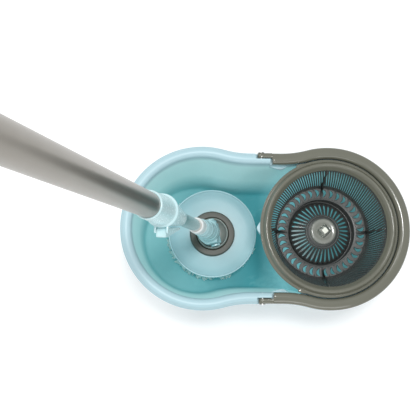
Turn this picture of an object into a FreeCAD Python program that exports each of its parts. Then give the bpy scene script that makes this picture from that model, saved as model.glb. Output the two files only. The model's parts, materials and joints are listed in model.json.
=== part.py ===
"""Spin mop with a two-lobed bucket: bucket, carrying handle, spin basket and telescopic mop.

The frame is the bucket's: +Z is up, +X runs from the mop's lobe to the basket's lobe, and the
origin is the centre of the underside.  Every driving size is a cell of the sheet, and a size that
follows another is a formula in its cell.
"""

import FreeCAD, Part
import math
import os
import re
import sys

import Sketcher

V = FreeCAD.Vector
Rotation = FreeCAD.Rotation
Placement = FreeCAD.Placement

SIZES = {
    # bucket outline and walls
    "lobe_gap": 205.0,
    "lobe_r": 132.5,
    "neck_half": "=lobe_r - 10.5",
    "neck_flat": 24.0,
    "rim_z": 222.0,
    "rim_wide": 18.0,
    "rim_tall": 24.0,
    "rim_round": 5.0,
    "rim_inner_round": 3.0,
    "skirt_thick": 2.5,
    "wall": 2.5,
    "wall_taper": 17.0,
    "floor": 3.0,
    "seat_thick": 3.0,
    # shoulder inside the bucket that carries the basket ring
    "shoulder_in": "=ring_r - 8.5",
    "shoulder_drop": 20.0,
    "shoulder_thick": 5.0,
    "shoulder_x": 6.0,
    "shoulder_wide": 13.0,
    "shoulder_turn": 95.0,
    # carrying handle and its half-lapped pivots
    "handle_thick": 12.0,
    "handle_wide": 18.5,
    "handle_round": 4.0,
    "seat_gap": 0.5,
    "lap_gap": 0.6,
    "lap_x": -13.4,
    "lap_end": 10.4,
    "seat_x": -16.0,
    "tongue_end": 7.5,
    "pin_r": 3.0,
    "pin_head_r": 5.0,
    "pin_head": 1.2,
    "running": 0.05,
    # fixed ring round the basket
    "ring_r": "=lobe_r - rim_wide - 2",
    "ring_lip_r": "=ring_r - 18",
    "ring_bead_r": "=ring_r - 9",
    "ring_bead_z": 4.0,
    "ring_thick": 3.0,
    "ring_skirt": 2.5,
    "wing_x": 50.0,
    "wing_gap": 1.4,
    "catch_r": 9.0,
    "catch_tall": 11.0,
    # turning basket
    "basket_drop": 10.0,
    "basket_r": "=ring_lip_r + 4",
    "basket_lip": 3.0,
    "basket_foot_r": "=basket_r - 19.3",
    "basket_wall": 2.2,
    "step_z": 147.0,
    "groove_r": "=basket_foot_r - 22.9",
    "groove_wide": 2.3,
    "groove_z": 125.0,
    "cone_z": 159.0,
    "boss_r": 17.0,
    "boss_z": "=cone_z + 2.5",
    "sleeve_r": 14.0,
    "sleeve_z": 105.0,
    "bore_top": "=cone_z - 1",
    "bush_r": "=spindle_r + 3",
    "wall_slots": 60.0,
    "slot_wide": 2.2,
    "step_holes": 36.0,
    "step_hole_r": 2.2,
    "cone_slots": 36.0,
    "fin_thick": 2.2,
    "hub_r": 22.0,
    "hub_z": "=cone_z + 8",
    "post_side": 16.5,
    "post_tall": 15.0,
    "post_bevel": 4.0,
    # spindle that the basket turns on
    "spindle_r": 6.0,
    "spindle_z": "=bore_top - 6.9",
    "ball_r": 3.3,
    "foot_r": 36.0,
    "foot_flange": 5.0,
    "foot_neck_r": 13.0,
    "foot_top": 70.0,
    "foot_boss": 9.0,
    "screw_ring_r": 27.0,
    "screw_r": 1.9,
    "screw_head_r": 4.0,
    "screw_head": 2.4,
    # place and lean of the mop
    "mop_x": -77.0,
    "mop_y": 8.0,
    "mop_turn": 13.5,
    "mop_lean": 11.4,
    "pivot_z": 58.0,
    # mop head
    "strand_low": 4.5,
    "strand_r": "=lobe_r - 50.5",
    "strand_tall": 26.5,
    "strand_hole": 22.0,
    "plate_r": "=disc_r - 16",
    "plate_thick": 3.0,
    "head_gap": 0.3,
    "disc_r": "=lobe_r - 52.5",
    "disc_thick": 2.2,
    "disc_flat_r": "=disc_r - 16",
    "disc_rise": 6.5,
    "disc_edge": 2.8,
    "swivel_r": 41.0,
    "swivel_in": 28.4,
    "swivel_tall": 8.0,
    "flange_r": 34.0,
    "flange_thick": 3.3,
    "cup_r": 28.0,
    "cup_in": 25.0,
    "cup_z": 50.0,
    "ear_in": "=knuckle_half + 0.3",
    "ear_thick": 3.6,
    "ear_half": 8.0,
    "yoke_pin_r": 3.0,
    # yoke, socket and inner tube, measured along the pole from the tilt pin
    "knuckle_r": 11.0,
    "knuckle_half": 20.5,
    "block_right": 14.0,
    "block_left": 24.0,
    "block_top": 34.0,
    "neck_r": 17.0,
    "neck_top_r": "=tube_r + 3.7",
    "neck_top": 165.0,
    "socket_low": 70.0,
    "sleeve_top": 200.0,
    "sleeve_wide": 3.2,
    "tube_r": 9.5,
    "tube_wall": 0.8,
    "tube_top": 760.0,
    "rivet_r": 2.0,
    "rivet_at": 120.0,
    # spiral drive
    "nut_tall": 18.0,
    "nut_jaw": 2.0,
    "nut_flange": 2.0,
    "nut_clear_r": 5.6,
    "slot_gap": 0.4,
    "rod_wide": 8.0,
    "rod_thick": 2.0,
    "rod_pitch": 120.0,
    "rod_low": 700.0,
    "rod_top": 1105.0,
    "plug_tall": 24.0,
    # outer tube, collar, lever, grip and cap
    "outer_r": 15.0,
    "outer_wall": 0.8,
    "outer_low": 520.0,
    "outer_top": 1140.0,
    "bush_gap": 0.1,
    "bush_tall": 30.0,
    "collar_r": 20.5,
    "collar_top_r": "=outer_r + 1.4",
    "collar_top": 552.0,
    "collar_belt": 472.0,
    "collar_low": 350.0,
    "collar_bore": "=tube_r + 0.4",
    "collar_turn": -15.0,
    "lever_y": 25.2,
    "lever_s": 468.0,
    "lever_reach": 33.0,
    "lever_tip": 366.0,
    "lever_wide": 12.0,
    "lever_cam": 4.2,
    "lever_pin_r": 1.5,
    "lug_thick": 2.5,
    "grip_r": 17.5,
    "grip_low": 1030.0,
    "grip_ribs": 4.0,
    "rib_pitch": 20.0,
    "rib_deep": 1.2,
    "cap_r": 16.5,
    "cap_tall": 14.0,
    "loop_r": 13.0,
    "loop_hole": 8.0,
    "loop_thick": 7.0,
}

doc = FreeCAD.newDocument("SpinMop")
sheet = doc.addObject("Spreadsheet::Sheet", "Sizes")
for row, (alias, number) in enumerate(SIZES.items(), start=1):
    sheet.set(f"A{row}", alias)
    sheet.set(f"B{row}", str(number))
    sheet.setAlias(f"B{row}", alias)
doc.recompute()

# Lengths that follow from the sheet, written once.
LOBE_X = "lobe_gap / 2"
INNER_R = "(lobe_r - rim_wide)"
INNER_NECK = "(neck_half - rim_wide)"
SEAT_Z = "(rim_z - handle_thick - seat_gap)"
PIVOT_X = "(lap_x + handle_thick / 2)"
PIVOT_Z = "(rim_z - handle_thick / 2)"
LAP_Y = "(neck_half - rim_wide / 2)"
SHOULDER_Z = "(rim_z - shoulder_drop)"
RING_Z = "(rim_z - ring_bead_z - 1)"
BASKET_Z = "(rim_z - basket_drop)"
BASKET_FLOOR = "(step_z - basket_wall)"
BOSS_TOP = "(floor + foot_boss)"
FLANGE_TOP = "(floor + foot_boss + foot_flange)"
PLATE_Z = "(strand_low + strand_tall + head_gap)"
DISC_Z = "(strand_low + strand_tall + 2 * head_gap + plate_thick)"
DISC_TOP = "(strand_low + strand_tall + 2 * head_gap + plate_thick + disc_thick)"
FLANGE_Z = "(strand_low + strand_tall + 2 * head_gap + plate_thick)"
RING_UNDER = "(strand_low + strand_tall + 3 * head_gap + plate_thick + flange_thick)"
TUBE_BORE = "(tube_r - tube_wall)"
OUTER_BORE = "(outer_r - outer_wall)"
NUT_LOW = "(tube_top + nut_flange - nut_tall)"
CAP_Z = "(outer_top + cap_tall)"


def bound(expression):
    """The expression with every alias pointed at the sheet."""
    return re.sub(r"[A-Za-z_]+", lambda word: "Sizes." + word[0] if word[0] in SIZES else word[0], expression)


def size(expression):
    """The number an expression gives with the sheet's present values."""
    return float(sheet.evalExpression(bound(expression)))


# ---------------------------------------------------------------- building steps

subparts = []


def new_body(label, placement=None):
    """An empty body that becomes one sub-part."""
    body = doc.addObject("PartDesign::Body", label)
    body.Label = label
    body.Placement = placement or Placement()
    subparts.append(body)
    return body


def origin_part(body, role):
    """One plane or axis of a body's own origin."""
    return [part for part in body.Origin.OriginFeatures if part.Role == role][0]


def new_sketch(body, plane, name, lift="0"):
    """A sketch on one of the body's own origin planes, raised along that plane's normal."""
    sketch = body.newObject("Sketcher::SketchObject", f"{body.Label}_{name}")
    sketch.AttachmentSupport = [(origin_part(body, plane + "_Plane"), "")]
    sketch.MapMode = "FlatFace"
    sketch.setExpression(".AttachmentOffset.Base.z", bound(lift))
    return sketch


def hold(sketch, kind, *where, to):
    """A dimension bound to an expression of the sheet."""
    index = sketch.addConstraint(Sketcher.Constraint(kind, *where, size(to)))
    sketch.setExpression(f"Constraints[{index}]", bound(to))


def draw_polygon(sketch, points):
    """A closed polygon whose corners are pairs of expressions."""
    first = sketch.GeometryCount
    corners = [V(size(across), size(up), 0) for across, up in points]
    count = len(corners)
    for i in range(count):
        sketch.addGeometry(Part.LineSegment(corners[i], corners[(i + 1) % count]))
    for i in range(count):
        sketch.addConstraint(Sketcher.Constraint("Coincident", first + i, 2, first + (i + 1) % count, 1))
    for i, (across, up) in enumerate(points):
        hold(sketch, "DistanceX", -1, 1, first + i, 1, to=across)
        hold(sketch, "DistanceY", -1, 1, first + i, 1, to=up)


def draw_rectangle(sketch, low_x, high_x, low_y, high_y):
    """A rectangle between four expressions."""
    draw_polygon(sketch, [(low_x, low_y), (high_x, low_y), (high_x, high_y), (low_x, high_y)])


def draw_circle(sketch, radius, across="0", up="0"):
    """A circle whose radius and centre are expressions."""
    index = sketch.addGeometry(Part.Circle(V(size(across), size(up), 0), V(0, 0, 1), size(radius)))
    hold(sketch, "Radius", index, to=radius)
    hold(sketch, "DistanceX", -1, 1, index, 3, to=across)
    hold(sketch, "DistanceY", -1, 1, index, 3, to=up)


def draw_sector(sketch, inner, outer, half_angle, across):
    """A stretch of a flat ring, centred on the sketch's X direction, between two radii."""
    turn = math.radians(size(half_angle))
    centre = V(size(across), 0, 0)
    arcs = []
    for radius in (inner, outer):
        circle = Part.Circle(centre, V(0, 0, 1), size(radius))
        index = sketch.addGeometry(Part.ArcOfCircle(circle, -turn, turn))
        hold(sketch, "Radius", index, to=radius)
        hold(sketch, "DistanceX", -1, 1, index, 3, to=across)
        hold(sketch, "DistanceY", -1, 1, index, 3, to="0")
        for end in (1, 2):
            hold(sketch, "DistanceX", -1, 1, index, end, to=f"{across} + {radius} * cos({half_angle})")
        arcs.append(index)
    for end, sign in ((1, -1), (2, 1)):
        corners = [centre + V(math.cos(turn), sign * math.sin(turn), 0) * size(r) for r in (inner, outer)]
        line = sketch.addGeometry(Part.LineSegment(*corners))
        sketch.addConstraint(Sketcher.Constraint("Coincident", line, 1, arcs[0], end))
        sketch.addConstraint(Sketcher.Constraint("Coincident", line, 2, arcs[1], end))


def draw_lobes(sketch, inset):
    """The bucket's outline moved inwards: two lobe arcs, four hollow blends and two flats."""
    lobe_x = size(LOBE_X)
    radius = size(f"lobe_r - {inset}")
    half = size(f"neck_half - {inset}")
    flat = size("neck_flat")
    blend = ((lobe_x - flat) ** 2 + half**2 - radius**2) / (2 * (radius - half))
    swing = math.atan2(half + blend, flat - lobe_x)
    first = sketch.GeometryCount

    def arc(centre_x, centre_y, arc_radius, start, end):
        circle = Part.Circle(V(centre_x, centre_y, 0), V(0, 0, 1), arc_radius)
        return sketch.addGeometry(Part.ArcOfCircle(circle, start, end))

    right = arc(lobe_x, 0, radius, -swing, swing)
    arc(flat, half + blend, blend, 1.5 * math.pi, swing + math.pi)
    top = sketch.addGeometry(Part.LineSegment(V(flat, half, 0), V(-flat, half, 0)))
    arc(-flat, half + blend, blend, 2 * math.pi - swing, 1.5 * math.pi)
    left = arc(-lobe_x, 0, radius, math.pi - swing, math.pi + swing)
    arc(-flat, -half - blend, blend, 0.5 * math.pi, swing)
    bottom = sketch.addGeometry(Part.LineSegment(V(-flat, -half, 0), V(flat, -half, 0)))
    arc(flat, -half - blend, blend, math.pi - swing, 0.5 * math.pi)

    joints = [(0, 2, 1, 2), (1, 1, 2, 1), (2, 2, 3, 2), (3, 1, 4, 1)]
    joints += [(4, 2, 5, 2), (5, 1, 6, 1), (6, 2, 7, 2), (7, 1, 0, 1)]
    for one, one_end, other, other_end in joints:
        sketch.addConstraint(Sketcher.Constraint("Tangent", first + one, one_end, first + other, other_end))
    for lobe, place in ((right, LOBE_X), (left, f"-{LOBE_X}")):
        hold(sketch, "Radius", lobe, to=f"lobe_r - {inset}")
        hold(sketch, "DistanceX", -1, 1, lobe, 3, to=place)
        hold(sketch, "DistanceY", -1, 1, lobe, 3, to="0")
    for blend_arc, place in ((1, "neck_flat"), (3, "-neck_flat"), (5, "-neck_flat"), (7, "neck_flat")):
        hold(sketch, "DistanceX", -1, 1, first + blend_arc, 3, to=place)
    for line, level in ((top, f"neck_half - {inset}"), (bottom, f"{inset} - neck_half")):
        hold(sketch, "DistanceY", -1, 1, line, 1, to=level)


def add_feature(body, kind, name, sketch, **settings):
    """A feature on a sketch.  Text settings are expressions, other values are used as they are."""
    feature = body.newObject(f"PartDesign::{kind}", f"{body.Label}_{name}")
    feature.Profile = sketch
    for key, value in settings.items():
        if isinstance(value, str) and key in ("Length", "Length2", "Angle"):
            feature.setExpression(key, bound(value))
        else:
            setattr(feature, key, value)
    return feature


def revolve(body, name, points, kind="Revolution"):
    """A full turn about the body's Z axis of a profile in the XZ plane."""
    sketch = new_sketch(body, "XZ", f"{name}_profile")
    draw_polygon(sketch, points)
    return add_feature(body, kind, name, sketch, ReferenceAxis=(sketch, ["V_Axis"]), Angle="360")


def extrude(body, name, plane, lift, length, draw, kind="Pad", **settings):
    """A pad or pocket of what `draw` puts on a raised sketch."""
    sketch = new_sketch(body, plane, f"{name}_outline", lift)
    draw(sketch)
    return add_feature(body, kind, name, sketch, Length=length, **settings)


def pattern(body, name, feature, count):
    """Copies of a feature in equal steps of a full turn about the body's Z axis."""
    polar = body.newObject("PartDesign::PolarPattern", f"{body.Label}_{name}")
    polar.Originals = [feature]
    polar.Axis = (origin_part(body, "Z_Axis"), [""])
    polar.setExpression("Occurrences", bound(count))
    body.Tip = polar
    return polar


def dress(body, kind, name, amount, wanted):
    """A fillet or chamfer on the edges of the body so far that `wanted` picks."""
    doc.recompute()
    base = body.Tip
    names = [f"Edge{i}" for i, edge in enumerate(base.Shape.Edges, start=1) if wanted(edge)]
    feature = body.newObject(f"PartDesign::{kind}", f"{body.Label}_{name}")
    feature.Base = (base, names)
    feature.setExpression("Radius" if kind == "Fillet" else "Size", bound(amount))
    return feature


def level(z, tolerance=0.01):
    """Picks edges that lie wholly at one height of the body's frame."""
    return lambda edge: abs(edge.BoundBox.ZMin - z) < tolerance and abs(edge.BoundBox.ZMax - z) < tolerance


def group(label, placement, shapes):
    """Several alike pieces, such as screws, kept as one sub-part."""
    piece = doc.addObject("Part::Feature", label)
    piece.Label = label
    piece.Shape = Part.makeCompound(shapes)
    piece.Placement = placement
    subparts.append(piece)
    return piece


BASKET = Placement(V(size(LOBE_X), 0, 0), Rotation())
HEAD = Placement(V(size("mop_x"), size("mop_y"), 0), Rotation(V(0, 0, 1), size("mop_turn")))
POLE = Placement(
    V(size("mop_x"), size("mop_y"), size("pivot_z")),
    Rotation(V(0, 0, 1), size("mop_turn")) * Rotation(V(0, 1, 0), -size("mop_lean")),
)
COLLAR = POLE * Placement(V(0, 0, 0), Rotation(V(0, 0, 1), size("collar_turn")))

# ---------------------------------------------------------------- bucket

# Shell: two lofts between lobed outlines, outside and inside, under a padded rim.
shell = new_body("bucket_shell")
outer_low = new_sketch(shell, "XY", "outer_low")
draw_lobes(outer_low, "(rim_wide - wall + wall_taper)")
outer_high = new_sketch(shell, "XY", "outer_high", "rim_z - seat_thick")
draw_lobes(outer_high, "(rim_wide - wall)")
add_feature(shell, "AdditiveLoft", "outside", outer_low, Sections=[outer_high], Ruled=True)
extrude(shell, "rim", "XY", "rim_z", "rim_tall", lambda s: draw_lobes(s, "0"), Reversed=True)
dress(shell, "Fillet", "rim_edge", "rim_round", level(size("rim_z")))
inner_low = new_sketch(shell, "XY", "inner_low", "floor")
draw_lobes(inner_low, "(rim_wide + wall_taper)")
inner_high = new_sketch(shell, "XY", "inner_high", "rim_z")
draw_lobes(inner_high, "rim_wide")
add_feature(shell, "SubtractiveLoft", "inside", inner_low, Sections=[inner_high], Ruled=True)


def rim_channel(sketch):
    """The hollow under the rim, between the skirt and the wall."""
    draw_lobes(sketch, "skirt_thick")
    draw_lobes(sketch, "(rim_wide - wall)")


CHANNEL_TOP = f"{SEAT_Z} - seat_thick"
extrude(
    shell, "channel", "XY", "rim_z - rim_tall", f"{CHANNEL_TOP} - rim_z + rim_tall",
    rim_channel, kind="Pocket", Reversed=True,
)


def handle_seat(sketch):
    """Where the rim drops to let the handle lie flush, round the two tongues of its pivots."""
    far = "lobe_gap / 2 + lobe_r + 10"
    side = "lobe_r + 10"
    tongue_y = f"{LAP_Y} - lap_gap / 2"
    draw_polygon(sketch, [
        ("seat_x", f"-({side})"), (far, f"-({side})"), (far, side), ("seat_x", side),
        ("seat_x", tongue_y), ("tongue_end", tongue_y), ("tongue_end", f"-({tongue_y})"),
        ("seat_x", f"-({tongue_y})"),
    ])


extrude(shell, "seat", "XY", "rim_z", f"rim_z - {SEAT_Z}", handle_seat, kind="Pocket")


def shoulder_blocks(sketch):
    """Two blocks against the neck walls, later trimmed to the ring's circle."""
    inside = f"{INNER_NECK} - shoulder_wide"
    outside = f"{INNER_NECK} - 0.5"
    right = f"{LOBE_X} - 40"
    draw_rectangle(sketch, "shoulder_x", right, inside, outside)
    draw_rectangle(sketch, "shoulder_x", right, f"-({outside})", f"-({inside})")


extrude(shell, "shoulder_neck", "XY", SHOULDER_Z, "shoulder_thick", shoulder_blocks, Reversed=True)
extrude(
    shell, "shoulder_trim", "XY", SHOULDER_Z, "shoulder_thick",
    lambda s: draw_circle(s, "shoulder_in", LOBE_X), kind="Pocket",
)

extrude(
    shell, "shoulder_lobe", "XY", SHOULDER_Z, "shoulder_thick",
    lambda s: draw_sector(s, "shoulder_in", f"({INNER_R} + wall / 2)", "shoulder_turn", LOBE_X),
    Reversed=True,
)

# Boss in the floor for the spindle's foot, with its screw holes, and the bores of the handle's pins.
extrude(
    shell, "boss", "XY", "floor - 1", "foot_boss + 1",
    lambda s: draw_circle(s, "foot_r + 2", LOBE_X),
)


def screw_circle(sketch):
    """Three screw holes round the spindle."""
    for turn in (0, 120, 240):
        draw_circle(
            sketch, "screw_r", f"{LOBE_X} + screw_ring_r * cos({turn})", f"screw_ring_r * sin({turn})"
        )


extrude(shell, "screw_holes", "XY", BOSS_TOP, "foot_boss", screw_circle, kind="Pocket")
extrude(
    shell, "pin_bores", "XZ", "0", "2 * neck_half",
    lambda s: draw_circle(s, "pin_r", PIVOT_X, PIVOT_Z), kind="Pocket", Midplane=True,
)

# Carrying handle: a flat band over the basket lobe's rim, half as wide where it is pivoted.
handle = new_body("bucket_handle")


def handle_band(sketch):
    """The band's two long edges."""
    draw_lobes(sketch, "0")
    draw_lobes(sketch, "handle_wide")


def handle_ends(sketch):
    """What is cut off the band: the mop's side, and the inner half beside the tongues."""
    far = "-(lobe_gap / 2 + lobe_r + 10)"
    side = "lobe_r + 10"
    lap_y = f"{LAP_Y} + lap_gap / 2"
    draw_polygon(sketch, [
        (far, f"-({side})"), ("lap_x", f"-({side})"), ("lap_x", f"-({lap_y})"), ("lap_end", f"-({lap_y})"),
        ("lap_end", lap_y), ("lap_x", lap_y), ("lap_x", side), (far, side),
    ])


extrude(handle, "band", "XY", "rim_z", "handle_thick", handle_band, Reversed=True)
extrude(handle, "ends", "XY", "rim_z", "handle_thick", handle_ends, kind="Pocket")


def across_tip(edge):
    """Picks the edges that run across the handle's two tips."""
    box = edge.BoundBox
    return abs(box.XMin - size("lap_x")) < 0.01 and box.XLength < 0.01 and box.YLength > 1


dress(handle, "Fillet", "tips", "handle_thick / 2 - 0.05", across_tip)
dress(
    handle, "Fillet", "crown", "handle_round",
    lambda e: level(size("rim_z"))(e) and e.BoundBox.XMax > size("lap_end") + 10,
)
extrude(
    handle, "bores", "XZ", "0", "2 * lobe_r",
    lambda s: draw_circle(s, "pin_r + running", PIVOT_X, PIVOT_Z), kind="Pocket", Midplane=True,
)

doc.recompute()


def pivot_pin(side):
    """One headed pin, pointing inwards from the handle's outer face."""
    head_y = size("neck_half + 0.3")
    tip_y = size(f"{INNER_NECK} + 1")
    shank = Part.makeCylinder(size("pin_r"), head_y - tip_y, V(0, tip_y * side, 0), V(0, side, 0))
    head = Part.makeCylinder(size("pin_head_r"), size("pin_head"), V(0, head_y * side, 0), V(0, side, 0))
    return shank.fuse(head)


group("pivot_pins", Placement(V(size(PIVOT_X), 0, size(PIVOT_Z)), Rotation()), [pivot_pin(1), pivot_pin(-1)])

# ---------------------------------------------------------------- basket ring

# Fixed ring: a beaded flange on a skirt that stands on the shoulder, with two wings to the neck walls.
ring = new_body("basket_ring", BASKET)
SKIRT_OUT = "(ring_r - 2)"
SKIRT_IN = f"({SKIRT_OUT} - ring_skirt)"
BEAD_TOP = "(rim_z + ring_bead_z)"
revolve(ring, "section", [
    (SKIRT_IN, SHOULDER_Z), (SKIRT_OUT, SHOULDER_Z), (SKIRT_OUT, f"{RING_Z} - ring_thick"),
    ("ring_r", f"{RING_Z} - ring_thick"), ("ring_r", f"{RING_Z} - 0.8"), ("ring_r - 0.8", RING_Z),
    ("ring_bead_r + 4", f"{RING_Z} + 1"), ("ring_bead_r + 2.2", f"{BEAD_TOP} - 1.2"),
    ("ring_bead_r + 0.8", BEAD_TOP), ("ring_bead_r - 1.2", BEAD_TOP),
    ("ring_bead_r - 3", f"{BEAD_TOP} - 1.4"), ("ring_lip_r", f"{RING_Z} - 0.5"),
    ("ring_lip_r", f"{RING_Z} - ring_thick"), ("ring_bead_r - 3", f"{BEAD_TOP} - 5"),
    ("ring_bead_r + 0.3", f"{BEAD_TOP} - 3.6"), (SKIRT_IN, f"{RING_Z} - ring_thick"),
])


def ring_wings(sketch):
    """Two wings that fill the corners between the ring and the neck walls."""
    out_y = f"{INNER_NECK} - wing_gap"
    for side in ("", "-"):
        draw_polygon(sketch, [
            (f"wing_x - {LOBE_X}", f"{side}({out_y})"), ("-47", f"{side}({out_y} + 1.8)"),
            ("-42", f"{side}({out_y} + 3)"), ("-38", f"{side}({out_y} + 3)"), ("-42", f"{side}({out_y} - 8)"),
            (f"wing_x - {LOBE_X}", f"{side}({out_y} - 12)"),
        ])


extrude(ring, "wings", "XY", RING_Z, "ring_thick", ring_wings, Reversed=True)


def wing_legs(sketch):
    """Short walls under the wings that stand on the shoulder."""
    out_y = f"{INNER_NECK} - wing_gap"
    for side in ("", "-"):
        draw_rectangle(
            sketch, f"wing_x - {LOBE_X}", f"wing_x + 14 - {LOBE_X}",
            f"{side}({out_y} - 5)", f"{side}({out_y} - 2.5)",
        )


extrude(ring, "legs", "XY", SHOULDER_Z, f"{RING_Z} - {SHOULDER_Z} - 1", wing_legs)

# Locating catch on the neck side of the ring, in the bucket's colour.
catch = new_body("ring_catch", BASKET)
extrude(
    catch, "stem", "XY", f"{RING_Z} - ring_thick", "catch_tall",
    lambda s: draw_sector(s, "ring_r", "ring_r + catch_r / 2", "5", "0"), Reversed=True,
)
catch.Placement = BASKET * Placement(V(0, 0, 0), Rotation(V(0, 0, 1), 180))

# ---------------------------------------------------------------- turning basket

# Perforated cup: wall, step, dark groove and a cone that rises to the hub, on a sleeve for the bush.
basket = new_body("spin_basket", BASKET)
revolve(basket, "section", [
    ("basket_r", BASKET_Z), ("basket_r + basket_lip", BASKET_Z),
    ("basket_r + basket_lip", f"{BASKET_Z} - basket_wall"),
    ("basket_r - 0.3", f"{BASKET_Z} - basket_wall"), ("basket_foot_r", BASKET_FLOOR),
    ("groove_r + basket_wall", BASKET_FLOOR), ("groove_r + basket_wall", "groove_z - basket_wall"),
    ("groove_r - groove_wide - 2", "groove_z - basket_wall"), ("hub_r - 2", "cone_z - 3.2"),
    ("sleeve_r", "cone_z - 3.2"), ("sleeve_r", "sleeve_z"), ("bush_r", "sleeve_z"), ("bush_r", "bore_top"),
    ("0", "bore_top"), ("0", "boss_z"), ("boss_r", "boss_z"), ("boss_r", "cone_z + 0.5"),
    ("hub_r + 0.5", "cone_z"), ("groove_r - groove_wide", "groove_z + 2"),
    ("groove_r - groove_wide", "groove_z"), ("groove_r", "groove_z"),
    ("groove_r", "step_z"), ("basket_foot_r - basket_wall", "step_z"), ("basket_r - basket_wall", BASKET_Z),
])
slot = extrude(
    basket, "slot", "YZ", "groove_r + 6", "basket_r - groove_r",
    lambda s: draw_rectangle(s, "-slot_wide / 2", "slot_wide / 2", "step_z + 6", f"{BASKET_Z} - 8"),
    kind="Pocket", Reversed=True,
)
pattern(basket, "slots", slot, "wall_slots")
hole = extrude(
    basket, "hole", "XY", "step_z + 1", "basket_wall + 2",
    lambda s: draw_circle(s, "step_hole_r", "(groove_r + basket_foot_r) / 2"), kind="Pocket",
)
pattern(basket, "holes", hole, "step_holes")
ray = extrude(
    basket, "ray", "XY", "cone_z", "cone_z - groove_z + 2",
    lambda s: draw_rectangle(s, "hub_r + 3", "groove_r - groove_wide - 2", "-slot_wide / 3", "slot_wide / 3"),
    kind="Pocket",
)
pattern(basket, "rays", ray, "cone_slots")
fin = extrude(
    basket, "fin", "XZ", "0", "fin_thick",
    lambda s: draw_polygon(s, [
        ("groove_r + 2", "step_z - 1"), ("groove_r + 2", "step_z + 3"), ("basket_foot_r - 9", "step_z + 6"),
        ("basket_r - 6", f"{BASKET_Z} - 3"), ("basket_r - 1", f"{BASKET_Z} - 3"),
        ("basket_foot_r - 1", "step_z - 1"),
    ]), Midplane=True,
)
pattern(basket, "fins", fin, "4")

cap = new_body("hub_cap", BASKET)
revolve(cap, "section", [
    ("boss_r", "cone_z + 0.6"), ("hub_r", "cone_z + 0.6"), ("hub_r", "hub_z - 2.5"),
    ("hub_r - 0.8", "hub_z - 0.8"),
    ("hub_r - 2.5", "hub_z"), ("0", "hub_z"), ("0", "boss_z"), ("boss_r", "boss_z"),
])
post = new_body("drive_post", BASKET * Placement(V(0, 0, 0), Rotation(V(0, 0, 1), 40)))
extrude(
    post, "bar", "XY", "hub_z", "post_tall",
    lambda s: draw_rectangle(s, "-post_side / 2", "post_side / 2", "-post_side / 2", "post_side / 2"),
)
dress(post, "Chamfer", "bevel", "post_bevel", level(size("hub_z + post_tall")))
bush = new_body("basket_bush", BASKET)
revolve(bush, "section", [
    ("spindle_r + running", "sleeve_z"), ("bush_r", "sleeve_z"), ("bush_r", "bore_top - 8"),
    ("spindle_r + running", "bore_top - 8"),
])

# Spindle, its screwed foot and the ball that carries the basket.
foot = new_body("spindle_foot", BASKET)
revolve(foot, "section", [
    ("spindle_r", BOSS_TOP), ("foot_r", BOSS_TOP), ("foot_r", FLANGE_TOP), ("foot_neck_r + 6", FLANGE_TOP),
    ("foot_neck_r", "foot_top"), ("spindle_r", "foot_top"),
])
screw_hole = extrude(
    foot, "screw_hole", "XY", FLANGE_TOP, "foot_flange",
    lambda s: draw_circle(s, "screw_r", "screw_ring_r"), kind="Pocket",
)
pattern(foot, "screw_holes", screw_hole, "3")
spindle = new_body("spindle", BASKET)
revolve(spindle, "section", [
    ("0", BOSS_TOP), ("spindle_r", BOSS_TOP), ("spindle_r", "spindle_z"), ("0", "spindle_z"),
])
ball = doc.addObject("Part::Sphere", "thrust_ball")
ball.setExpression("Radius", bound("ball_r"))
ball.Placement = BASKET * Placement(V(0, 0, size("spindle_z + ball_r")), Rotation())
subparts.append(ball)


def foot_screw(turn):
    """One screw through the foot's flange into the floor's boss."""
    place = Rotation(V(0, 0, 1), turn).multVec(V(size("screw_ring_r"), 0, 0))
    top = size(FLANGE_TOP)
    low = size("floor + 0.5")
    shank = Part.makeCylinder(size("screw_r"), top - low, place + V(0, 0, low))
    return shank.fuse(Part.makeCylinder(size("screw_head_r"), size("screw_head"), place + V(0, 0, top)))


group("foot_screws", BASKET, [foot_screw(turn) for turn in (0, 120, 240)])

# ---------------------------------------------------------------- mop head

strands = new_body("mop_strands", HEAD)
STRAND_TOP = "(strand_low + strand_tall)"
revolve(strands, "section", [
    ("strand_hole", "strand_low"), ("strand_r - 5", "strand_low"), ("strand_r", "strand_low + 5"),
    ("strand_r", "strand_low + 15"), ("strand_r - 16", STRAND_TOP), ("strand_hole", STRAND_TOP),
])
plate = new_body("strand_plate", HEAD)
revolve(plate, "section", [
    ("strand_hole", PLATE_Z), ("plate_r", PLATE_Z), ("plate_r", f"{PLATE_Z} + plate_thick"),
    ("strand_hole", f"{PLATE_Z} + plate_thick"),
])
disc = new_body("mop_disc", HEAD)
DISC_BORE = "(flange_r + 0.5)"
revolve(disc, "section", [
    (DISC_BORE, DISC_Z), ("disc_flat_r", DISC_Z), ("disc_r - 2", f"{DISC_Z} + disc_rise"),
    ("disc_r", f"{DISC_Z} + disc_rise + disc_edge"), ("disc_r", f"{DISC_TOP} + disc_rise + disc_edge"),
    ("disc_r - 1.8", f"{DISC_TOP} + disc_rise + disc_edge"), ("disc_r - 3", f"{DISC_TOP} + disc_rise"),
    ("disc_flat_r", DISC_TOP), (DISC_BORE, DISC_TOP),
])
swivel = new_body("swivel_ring", HEAD)
revolve(swivel, "section", [
    (DISC_BORE, DISC_TOP), ("swivel_r", DISC_TOP), ("swivel_r", f"{DISC_TOP} + 3"),
    ("swivel_r - 3.5", f"{DISC_TOP} + swivel_tall"), ("swivel_in + 3", f"{DISC_TOP} + swivel_tall"),
    ("swivel_in", f"{DISC_TOP} + swivel_tall - 3"), ("swivel_in", RING_UNDER), (DISC_BORE, RING_UNDER),
])
cup = new_body("pivot_cup", HEAD)
CUP_FLOOR = f"({FLANGE_Z} + head_gap + flange_thick)"
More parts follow.
